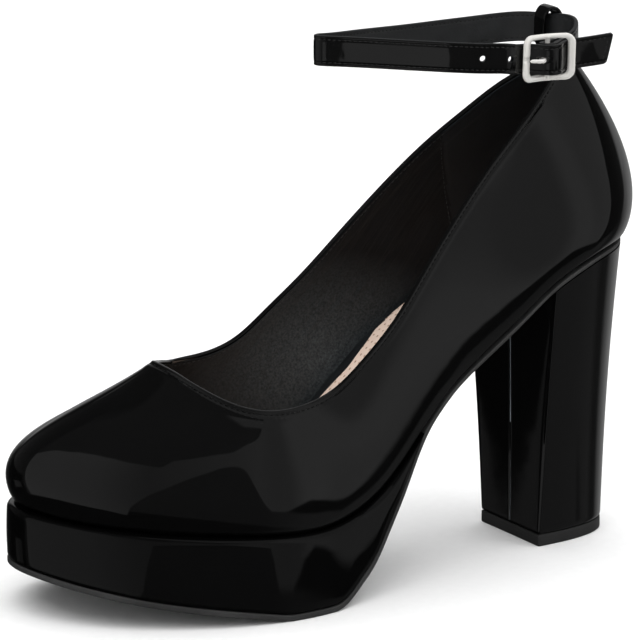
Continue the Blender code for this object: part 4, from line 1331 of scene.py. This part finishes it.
def make_strap():
    line, tangent, up, side = STRAP
    n = len(line)
    s = run_lengths(line)
    section = strap_section()
    nv = len(section)
    rows = np.zeros((n, nv, 3))
    tip_from = s[-1] - 9.0
    for k, (off, h, _) in enumerate(section):
        back = strap_cut(h)
        f = np.clip((s - tip_from) / 9.0, 0, 1)
        where = np.where(s > tip_from, tip_from + (9.0 - back) * f, s)
        c = np.stack([np.interp(where, s, line[:, i]) for i in range(3)], 1)
        uu = unit(np.stack([np.interp(where, s, up[:, i]) for i in range(3)], 1))
        nn = unit(np.stack([np.interp(where, s, side[:, i]) for i in range(3)], 1))
        rows[:, k] = c + nn * off + uu * h
    parts = [rows[i] for i in range(n)]
    # rounded ends
    for step, shrink in ((0.25, 0.82), (0.42, 0.5)):
        mid = rows[-1].mean(0)
        flat = np.array([off for off, _, _ in section])[:, None]
        last = rows[-1] - side[-1] * flat * (1 - shrink) + tangent[-1] * step
        last = last + (mid - last) * 0.0
        parts.append(last)
    first = []
    for step, shrink in ((0.42, 0.5), (0.25, 0.82)):
        flat = np.array([off for off, _, _ in section])[:, None]
        first.append(rows[0] - side[0] * flat * (1 - shrink) - tangent[0] * step)
    parts = first + parts
    grid = np.stack(parts)
    nu = len(grid)
    faces = tube_faces(nu, nv, False, True)
    kinds = [r[2] for r in section]
    index = list(np.tile(kinds, nu - 1))
    faces.append(tuple(range(nv)))
    faces.append(tuple((nu - 1) * nv + k for k in range(nv))[::-1])
    index += [2, 2]
    obj = new_object("strap_band", grid.reshape(-1, 3), faces, (PATENT_STRAP, STRAP_LINING, EDGE_PAINT), index, 45.0)
    return obj, s


STRAP_BAND, STRAP_S = make_strap()


def strap_holes(obj, s):
    line, tangent, up, side = STRAP
    start = len(line) // 2
    near = start + int(np.argmin(np.linalg.norm(line[start:] - in_buckle(-2.6, 2.6), axis=1)))
    work = bmesh.new()
    spots = []
    for along in HOLES:
        where = s[near] + along
        p = np.array([np.interp(where, s, line[:, i]) for i in range(3)])
        n = unit(np.array([np.interp(where, s, side[:, i]) for i in range(3)]))
        if along == 0.0:
            p, n = in_buckle(-3.0, 3.4), OUT
        z = Vector(n)
        x = Vector(ALONG) if along == 0.0 else Vector(unit(np.array([np.interp(where, s, tangent[:, i]) for i in range(3)])))
        y = z.cross(x).normalized()
        x = y.cross(z)
        rot = Matrix((x, y, z)).transposed().to_4x4()
        radius, deep = (1.4, 6.0) if along == 0.0 else (HOLE_R, 3.0)
        size = Matrix.Diagonal((1.55, 0.85, 1.0, 1.0)) if along == 0.0 else Matrix.Identity(4)
        move = Matrix.Translation(Vector(place(p)))
        bmesh.ops.create_cone(
            work, cap_ends=True, segments=28, radius1=radius * MM, radius2=radius * MM,
            depth=deep * MM, matrix=move @ rot @ size,
        )
        spots.append((p, n, radius, along))
    tools = [work, bmesh.new()]
    rot = Matrix((ALONG, UP, OUT)).transposed().to_4x4()
    bmesh.ops.create_cube(
        tools[1], size=1.0,
        matrix=Matrix.Translation(Vector(place(in_buckle(-0.6, 0.0)))) @ rot
        @ Matrix.Diagonal((7.6 * MM, 3.4 * MM, 6.0 * MM, 1.0)),
    )
    for tool in tools:
        for face in tool.faces:
            face.material_index = 2
        mesh = bpy.data.meshes.new("punches")
        tool.to_mesh(mesh)
        tool.free()
        for mat in (PATENT_STRAP, STRAP_LINING, EDGE_PAINT):
            mesh.materials.append(mat)
        cutter = bpy.data.objects.new("punches", mesh)
        bpy.context.scene.collection.objects.link(cutter)
        mod = obj.modifiers.new("punched", "BOOLEAN")
        mod.operation = "DIFFERENCE"
        mod.solver = "EXACT"
        mod.object = cutter
        bpy.context.view_layer.update()
        graph = bpy.context.evaluated_depsgraph_get()
        made = bpy.data.meshes.new_from_object(obj.evaluated_get(graph))
        obj.modifiers.clear()
        obj.data = made
        bpy.data.objects.remove(cutter, do_unlink=True)
    made.shade_smooth()
    made.set_sharp_from_angle(angle=math.radians(45.0))
    return spots


SPOTS = strap_holes(STRAP_BAND, STRAP_S)


def make_strap_thread():
    """Two rows on each face, and one across the tip on each face."""
    line, tangent, up, side = STRAP
    s = STRAP_S
    parts = []
    half = STRAP_H / 2
    for sign in (-1, 1):
        h = sign * (half - 1.35)
        stop = s[-1] - 1.6 - float(strap_cut(h))
        keep = (s > 1.0) & (s < stop)
        for face, off in ((1, STRAP_T / 2 - 0.12 - 0.02), (-1, -(STRAP_T / 2 - 0.1) + 0.02)):
            p = line[keep] + up[keep] * h + side[keep] * off
            parts += thread_row(p, side[keep] * face, 1.85, 1.4, 0.17, 0.0)
    # across the tip
    for face, off in ((1, STRAP_T / 2 - 0.05), (-1, -(STRAP_T / 2 - 0.1))):
        rows, nors = [], []
        for h in np.linspace(-(half - 1.5), half - 1.5, 12):
            where = s[-1] - 1.6 - float(strap_cut(h))
            p = np.array([np.interp(where, s, (line + up * h + side * off)[:, i]) for i in range(3)])
            rows.append(p)
            nors.append(side[-1] * face)
        parts += thread_row(np.array(rows), np.array(nors), 1.85, 1.4, 0.17, 0.0, start=0.2)
    points, faces = merge_parts(parts)
    return new_object("strap_thread", points, faces, (THREAD_STRAP,), None, 60.0)


STRAP_THREAD = make_strap_thread()


# ---------------------------------------------------------------- back loop
def make_loop():
    rows = np.array([(x, 0.0, z) for x, z in LOOP_LINE])
    closed = np.concatenate([rows, rows[:1]])
    s = run_lengths(closed)
    seconds = spline(s, rows, True)
    line = at(s, rows, seconds, np.arange(160) * s[-1] / 160, True)[0]
    line = soften_closed(line, 2)
    tangent = unit(np.roll(line, -1, 0) - np.roll(line, 1, 0))
    normal = unit(np.cross(tangent, np.array([0.0, 1.0, 0.0])))
    middle = line.mean(0)
    if np.sum((line - middle) * normal) < 0:
        normal = -normal
    t, w = LOOP_T / 2, LOOP_W / 2
    section = []
    for v in np.linspace(-(w - 0.3), w - 0.3, 15):
        section.append((t - 0.06 + 0.05 * (1 - (v / w) ** 2) - 0.09 * math.exp(-(((abs(v) - (w - 0.95)) / 0.25) ** 2)), v))
    for a in np.linspace(0, math.pi, 6)[1:-1]:
        section.append(((t - 0.06) * math.cos(a), w - 0.3 + 0.3 * math.sin(a)))
    for v in np.linspace(w - 0.3, -(w - 0.3), 9):
        section.append((-(t - 0.06), v))
    for a in np.linspace(0, math.pi, 6)[1:-1]:
        section.append((-(t - 0.06) * math.cos(a), -(w - 0.3) - 0.3 * math.sin(a)))
    grid = np.zeros((len(line), len(section), 3))
    for k, (off, v) in enumerate(section):
        grid[:, k] = line + normal * off + np.array([0.0, v, 0.0])
    faces = tube_faces(len(line), len(section), True, True)
    band = new_object("loop_band", grid.reshape(-1, 3), faces, (PATENT_LOOP,), None, 50.0)
    # the tab that carries the loop down into the top of the post
    tab = []
    leg = resample(np.array([(21.2, 0.0, 181.0), (21.6, 0.0, 179.0), (21.5, 0.0, 177.2), (21.9, 0.0, 175.0), (22.6, 0.0, 172.5)]), 0.4)
    tangent = unit(np.gradient(leg, axis=0))
    normal = unit(np.cross(tangent, np.array([0.0, 1.0, 0.0])))
    cross = []
    for a in np.arange(24) * 2 * math.pi / 24:
        c, q = math.cos(a), math.sin(a)
        cross.append((0.42 * math.copysign(abs(q) ** 0.5, q), 2.3 * math.copysign(abs(c) ** 0.25, c)))
    for p, n in zip(leg, normal):
        tab.append([p + n * a + np.array([0.0, b, 0.0]) for a, b in cross])
    tab = np.array(tab)
    faces = tube_faces(len(tab), len(cross), False, True)
    faces.append(tuple(range(len(cross))))
    faces.append(tuple((len(tab) - 1) * len(cross) + k for k in range(len(cross)))[::-1])
    tab_piece = new_object("loop_tab", tab.reshape(-1, 3), faces, (PATENT_LOOP,), None, 50.0)
    return band, tab_piece


LOOP_BAND, LOOP_TAB = make_loop()


# ---------------------------------------------------------------- buckle
def rounded_rect(a, b, r, count=25):
    """Closed outline with half sizes a, b: the same number of points whatever its sizes."""
    pts = []
    for cs, ch, start in ((1, 1, 0), (-1, 1, 90), (-1, -1, 180), (1, -1, 270)):
        for k in range(count):
            angle = math.radians(start + 90 * k / (count - 1))
            pts.append((cs * (a - r) + r * math.cos(angle), ch * (b - r) + r * math.sin(angle)))
        # a straight run to the next corner
        nxt = {(1, 1): (-1, 1), (-1, 1): (-1, -1), (-1, -1): (1, -1), (1, -1): (1, 1)}[(cs, ch)]
        end_angle = math.radians(start + 90)
        p0 = np.array((cs * (a - r) + r * math.cos(end_angle), ch * (b - r) + r * math.sin(end_angle)))
        p1 = np.array((nxt[0] * (a - r) + r * math.cos(end_angle), nxt[1] * (b - r) + r * math.sin(end_angle)))
        for f in np.linspace(0, 1, 30)[1:-1]:
            pts.append(tuple(p0 + (p1 - p0) * f))
    return np.array(pts)


def frame_bow(s):
    return FRAME_BOW * (np.abs(s) / (FRAME_L / 2)) ** 2 - 0.2


def make_frame():
    a, b = FRAME_L / 2 + BAR_R, FRAME_H / 2 + BAR_R
    outer = rounded_rect(a, b, 3.5)
    # the opening: left bar widest, then right, bottom and top
    left, right, top, bottom = 3.1, 2.5, 1.9, 2.25
    ia, ib = (2 * a - left - right) / 2, (2 * b - top - bottom) / 2
    inner = rounded_rect(ia, ib, 1.5) + np.array([(left - right) / 2, (bottom - top) / 2])
    section = (
        (0.0, -0.55), (0.0, 0.05), (0.05, 0.40), (0.16, 0.66), (0.34, 0.80), (0.52, 0.83),
        (0.70, 0.79), (0.86, 0.64), (0.96, 0.38), (1.0, 0.05), (1.0, -0.55),
        (0.9, -0.85), (0.5, -0.95), (0.1, -0.85),
    )
    grid = np.zeros((len(outer), len(section), 3))
    for k, (f, n) in enumerate(section):
        p = outer * (1 - f) + inner * f
        bow = frame_bow(p[:, 0])
        # a seat for the prong's tip in the left bar
        on_left = smoothstep(-ia - 0.2, -ia - 1.0, p[:, 0]) if False else (p[:, 0] < -ia + (left - right) / 2 + 0.35)
        notch = np.exp(-((p[:, 1] / 0.85) ** 4)) * on_left * (0.55 if n > 0.2 else 0.0)
        for i in range(len(p)):
            grid[i, k] = in_buckle(p[i, 0], bow[i] + n - notch[i], p[i, 1])
    faces = tube_faces(len(outer), len(section), True, True)
    frame_piece = new_object("buckle_rim", grid.reshape(-1, 3), faces, (METAL,), None, 70.0)
    sub = frame_piece.modifiers.new("smooth", "SUBSURF")
    sub.levels = sub.render_levels = 1
    # centre bar with flared ends
    rings = []
    span = FRAME_H / 2 + 0.1
    for h in np.linspace(-span, span, 41):
        r = CENTRE_R + 0.35 * math.exp(-((span - abs(h)) / 0.9) ** 2)
        rings.append([
            in_buckle(r * math.cos(q), r * 0.95 * math.sin(q) - 0.1, h)
            for q in np.arange(20) * 2 * math.pi / 20
        ])
    rings = np.array(rings)
    faces = tube_faces(len(rings), 20, False, True)
    faces.append(tuple(range(20)))
    faces.append(tuple((len(rings) - 1) * 20 + k for k in range(20))[::-1])
    bar = new_object("buckle_bar", rings.reshape(-1, 3), faces, (METAL,), None, 50.0)
    return frame_piece, bar


FRAME_PIECE, CENTRE_BAR = make_frame()


def make_prong():
    line = [in_buckle(s, n) for s, n in PRONG_LINE]
    line = smooth_run(line, 0.3)
    line = soften(line, 2)
    tangent = unit(np.gradient(line, axis=0))
    side = np.tile(UP, (len(line), 1))
    other = unit(np.cross(tangent, side))
    s = run_lengths(line)
    left = s[-1] - s
    r = np.full(len(line), PRONG_R * 0.98)
    r = r * (0.80 + 0.20 * smoothstep(0.0, 5.0, left))
    r = r * np.sqrt(np.clip(left / 0.9, 0.02, 1)) ** 0.8
    start = np.sqrt(np.clip(s / 0.5, 0.05, 1))
    r = r * start
    around = 18
    rings = []
    for p, a, b, q in zip(line, side, other, r):
        rings.append([p + a * q * math.cos(v) + b * q * 0.88 * math.sin(v) for v in np.arange(around) * 2 * math.pi / around])
    rings = np.array(rings)
    faces = tube_faces(len(rings), around, False, True)
    faces.append(tuple(range(around)))
    faces.append(tuple((len(rings) - 1) * around + k for k in range(around))[::-1])
    return new_object("prong_pin", rings.reshape(-1, 3), faces, (PIN,), None, 60.0)


PRONG = make_prong()


# ---------------------------------------------------------------- what rides, what it replaces
def use(piece, slot, *nodes):
    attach(piece, "root")
    for node in nodes:
        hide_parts(node)


use(UPPER, "upper_patent", "upper")
use(COLLAR_OUT, "upper_patent")
use(COLLAR_IN, "upper_patent")
use(GRIP_THREAD, "upper_patent")
use(SOCK_PIECE, "insole_cover", "insole")
use(PLATFORM, "platform_cover", "platform")
use(OUTSOLE, "outsole_rubber", "outsole")
use(HEEL, "heel_cover", "heel")
use(LIFT_PIECE, "lift_rubber", "top_lift")
use(STRAP_BAND, "strap_patent", "ankle_strap")
use(STRAP_THREAD, "strap_patent")
use(LOOP_BAND, "loop_patent", "back_loop")
use(LOOP_TAB, "loop_patent")
use(FRAME_PIECE, "buckle_metal", "buckle_frame")
use(CENTRE_BAR, "buckle_metal")
use(PRONG, "prong_metal", "buckle_prong")


# ---------------------------------------------------------------- camera, floor and light
def make_camera():
    az, el = math.radians(-32.0), math.radians(15.0)
    back = Vector((math.sin(az) * math.cos(el), -math.cos(az) * math.cos(el), math.sin(el)))
    right = Vector((math.cos(az), math.sin(az), 0.0))
    up = back.cross(right)
    turn = Matrix((right, up, back)).transposed().to_4x4()
    turn.translation = Vector((-1.138, -1.6648, 0.6176))
    data = bpy.data.cameras.new("camera")
    data.sensor_fit = "HORIZONTAL"
    data.sensor_width = 36.0
    data.lens = 5800.0 * 36.0 / 640.0
    data.clip_start = 0.1
    data.clip_end = 60.0
    cam = bpy.data.objects.new("camera", data)
    cam.matrix_world = turn
    bpy.context.scene.collection.objects.link(cam)
    bpy.context.scene.camera = cam
    return cam


make_camera()


def make_floor():
    """Paper floor that curves up far from the shoe."""
    rings, around = 60, 96
    points, faces = [(0.0, 0.0, 0.0)], []
    for i in range(1, rings + 1):
        r = 7.0 * i / rings
        z = 0.0 if r < 4.6 else 1.5 * (r - 4.6) ** 2
        for k in range(around):
            a = 2 * math.pi * k / around
            points.append((r * math.cos(a), r * math.sin(a), z))
    for k in range(around):
        faces.append((0, 1 + k, 1 + (k + 1) % around))
    for i in range(rings - 1):
        for k in range(around):
            a, b = 1 + i * around + k, 1 + i * around + (k + 1) % around
            faces.append((a, a + around, b + around, b))
    mesh = bpy.data.meshes.new("studio_floor")
    mesh.from_pydata(points, [], faces)
    mesh.shade_smooth()
    obj = bpy.data.objects.new("studio_floor", mesh)
    bpy.context.scene.collection.objects.link(obj)
    m = Nodes("studio_paper", (0.9, 0.9, 0.9), 0.9)
    m.set("Specular IOR Level", 0.1)
    grain = m.noise(300.0, 2.0, 0.5)
    m.colour_from(grain, ((0.3, (0.89, 0.89, 0.89)), (0.7, (0.91, 0.91, 0.91))))
    m.bumps(((grain, 0.1, 0.00005),))
    mesh.materials.append(m.mat)
    obj.visible_glossy = False
    return obj


make_floor()


def area(name, centre, look, width, tall, power, glossy=True, diffuse=True):
    data = bpy.data.lights.new(name, "AREA")
    data.shape = "RECTANGLE"
    data.size, data.size_y = width, tall
    data.energy = power
    obj = bpy.data.objects.new(name, data)
    direction = Vector(look) - Vector(centre)
    obj.rotation_euler = direction.to_track_quat("-Z", "Y").to_euler()
    obj.location = centre
    obj.visible_glossy = glossy
    obj.visible_diffuse = diffuse
    obj.visible_camera = False
    bpy.context.scene.collection.objects.link(obj)
    return obj


MIDDLE = (-0.09, 0.0, 0.09)
area("overhead", (-0.1, 0.0, 2.5), MIDDLE, 5.2, 5.2, 185.0, glossy=False)
area("fill_left", (-2.6, -1.7, 1.5), MIDDLE, 2.2, 2.2, 22.0, glossy=False)
area("fill_right", (1.4, -2.8, 1.5), MIDDLE, 2.2, 2.2, 22.0, glossy=False)


# a small soft box that only the strap shows, as a lit stretch between two dark ones
STRAP_BOX = area("strap_box", (-0.292, -0.560, 0.065), (-0.062, -0.019, 0.185), 0.180, 0.26, 0.052, diffuse=False)
ONLY_STRAP = bpy.data.collections.new("strap_box_receivers")
ONLY_STRAP.objects.link(STRAP_BAND)
STRAP_BOX.light_linking.receiver_collection = ONLY_STRAP


# ---------------------------------------------------------------- the studio round the shoe
def studio_world():
    """Soft boxes and dark gaps, laid out by compass bearing and height above the horizon.

    Bearing 0 looks to the outer side of the shoe, -90 to its toe and +90 to its heel."""
    world = bpy.data.worlds.new("studio")
    world.use_nodes = True
    tree = world.node_tree
    back = tree.nodes["Background"]

    def node(kind, **values):
        made = tree.nodes.new(kind)
        for key, value in values.items():
            setattr(made, key, value)
        return made

    def maths(op, a, b=None):
        made = node("ShaderNodeMath", operation=op)
        for socket, value in zip(made.inputs, (a, b)):
            if value is None:
                continue
            if isinstance(value, (int, float)):
                socket.default_value = value
            else:
                tree.links.new(value, socket)
        return made.outputs[0]

    coords = node("ShaderNodeTexCoord").outputs["Generated"]
    split = node("ShaderNodeSeparateXYZ")
    tree.links.new(coords, split.inputs[0])
    x, y, z = split.outputs
    bearing = maths("MULTIPLY", maths("ARCTAN2", x, maths("MULTIPLY", y, -1.0)), 180 / math.pi)
    rise = maths("MULTIPLY", maths("ARCSINE", z), 180 / math.pi)
    turn = maths("DIVIDE", maths("ADD", bearing, 180.0), 360.0)

    def curve(stops, low, high):
        """A value that follows the bearing, between straight stops."""
        made = node("ShaderNodeValToRGB")
        ramp = made.color_ramp
        ramp.interpolation = "LINEAR"
        while len(ramp.elements) < len(stops):
            ramp.elements.new(0.5)
        for k, (deg, value) in enumerate(stops):
            ramp.elements[k].position = (deg + 180.0) / 360.0
            v = (value - low) / (high - low)
            ramp.elements[k].color = (v, v, v, 1.0)
        tree.links.new(turn, made.inputs[0])
        return maths("ADD", maths("MULTIPLY", made.outputs[0], high - low), low)

    def step(value, edge, soft):
        """0 below the edge, 1 above it."""
        t = maths("DIVIDE", maths("SUBTRACT", value, edge), soft)
        made = node("ShaderNodeMapRange", interpolation_type="SMOOTHSTEP")
        made.inputs["From Min"].default_value = -0.5
        made.inputs["From Max"].default_value = 0.5
        tree.links.new(t, made.inputs["Value"])
        return made.outputs["Result"]

    def blend(below, above, mask):
        return maths("ADD", below, maths("MULTIPLY", mask, maths("SUBTRACT", above, below)))

    for_base = curve(BASE_HIGH, 0.0, 1.0)
    low_base = curve(BASE_LOW, 0.0, 1.0)
    deep_base = curve(BASE_DEEP, 0.0, 1.0)
    gap = curve(GAP_EDGE, -90.0, 90.0)
    deep = curve(DEEP_EDGE, -90.0, 90.0)
    level = blend(deep_base, low_base, step(rise, deep, 3.0))
    level = blend(level, for_base, step(rise, gap, 2.5))
    lower, upper = curve(BOX_LOW, -90.0, 90.0), curve(BOX_TOP, -90.0, 90.0)
    box = maths("MULTIPLY", step(rise, lower, 2.2), maths("SUBTRACT", 1.0, step(rise, upper, 2.2)))
    level = blend(level, curve(BOX_LEVEL, 0.0, 1.0), box)
    # the floor as the heel's breast shows it, low behind the inner side
    low = maths("MULTIPLY", maths("SUBTRACT", 1.0, step(rise, -16.75, 0.35)), step(rise, -24.0, 2.0))
    side = maths("MULTIPLY", step(bearing, -156.0, 3.0), maths("SUBTRACT", 1.0, step(bearing, -136.0, 3.0)))
    level = blend(level, 0.085, maths("MULTIPLY", low, side))
    strip = step(rise, curve(STRIP_LOW, -90.0, 90.0), 1.6)
    level = blend(level, 0.30, strip)
    tree.links.new(level, back.inputs["Strength"])
    back.inputs["Color"].default_value = (1.0, 1.0, 1.0, 1.0)
    world.cycles_visibility.diffuse = False
    world.cycles_visibility.camera = False
    bpy.context.scene.world = world


BOX_LOW = (
    (-127, 40), (-124, -31), (-87, -33), (-60, -36), (-46, -40), (-40, -24), (-31, -4),
    (-24, 9), (-18, 19), (-13, 24), (-8, 28), (-3, 26), (2, 19), (6, 8), (11, -6), (14, -14),
    (17, -19), (24, -19), (30, -15), (36, -12), (44, -13.5), (52, -16), (60, -18),
    (66, -2), (72, 8), (79, 18), (83, 40),
)
BOX_TOP = (
    (-127, 30), (-105, 45), (-90, 53), (-72, 55), (-60, 54), (-50, 50), (-36, 44),
    (-25, 37), (-21, 44), (-10, 43), (-5, 40), (1, 42), (8, 41), (12, 44), (16, 52), (20, 70), (90, 70),
)
BOX_LEVEL = (
    (-127, 0.30), (-100, 0.36), (-70, 0.34), (-50, 0.27), (-30, 0.18), (-10, 0.25),
    (10, 0.33), (20, 0.29), (27, 0.30), (34, 0.45), (42, 0.45), (52, 0.36), (80, 0.30),
)
STRIP_LOW = (
    (-34, 91), (-27, 72.5), (-15, 69), (-7, 62.5), (0, 56), (12, 48.5),
    (18, 44), (60, 60), (70, 90),
)
BASE_HIGH = (
    (-180, 0.06), (-130, 0.055), (-120, 0.095), (15, 0.095), (30, 0.03), (84, 0.03),
    (97, 0.05), (102, 0.5), (165, 0.5), (172, 0.03),
)
BASE_LOW = (
    (-180, 0.008), (-132, 0.008), (-125, 0.09), (15, 0.09), (35, 0.14), (72, 0.14),
    (80, 0.06), (88, 0.06), (96, 0.3), (110, 0.45), (150, 0.3), (170, 0.02),
)
BASE_DEEP = (
    (-180, 0.01), (-60, 0.02), (15, 0.03), (45, 0.13), (110, 0.13), (150, 0.02),
)
GAP_EDGE = (
    (-180, 0), (-60, -15), (15, -18), (36, -20), (50, -20.5), (60, -23), (80, -16), (100, 0),
)
DEEP_EDGE = (
    (-180, -25), (-125, -32), (-60, -34), (15, -30), (60, -36), (110, -40),
)
studio_world()
bpy.context.scene.view_settings.view_transform = "Standard"
bpy.context.scene.view_settings.look = "None"
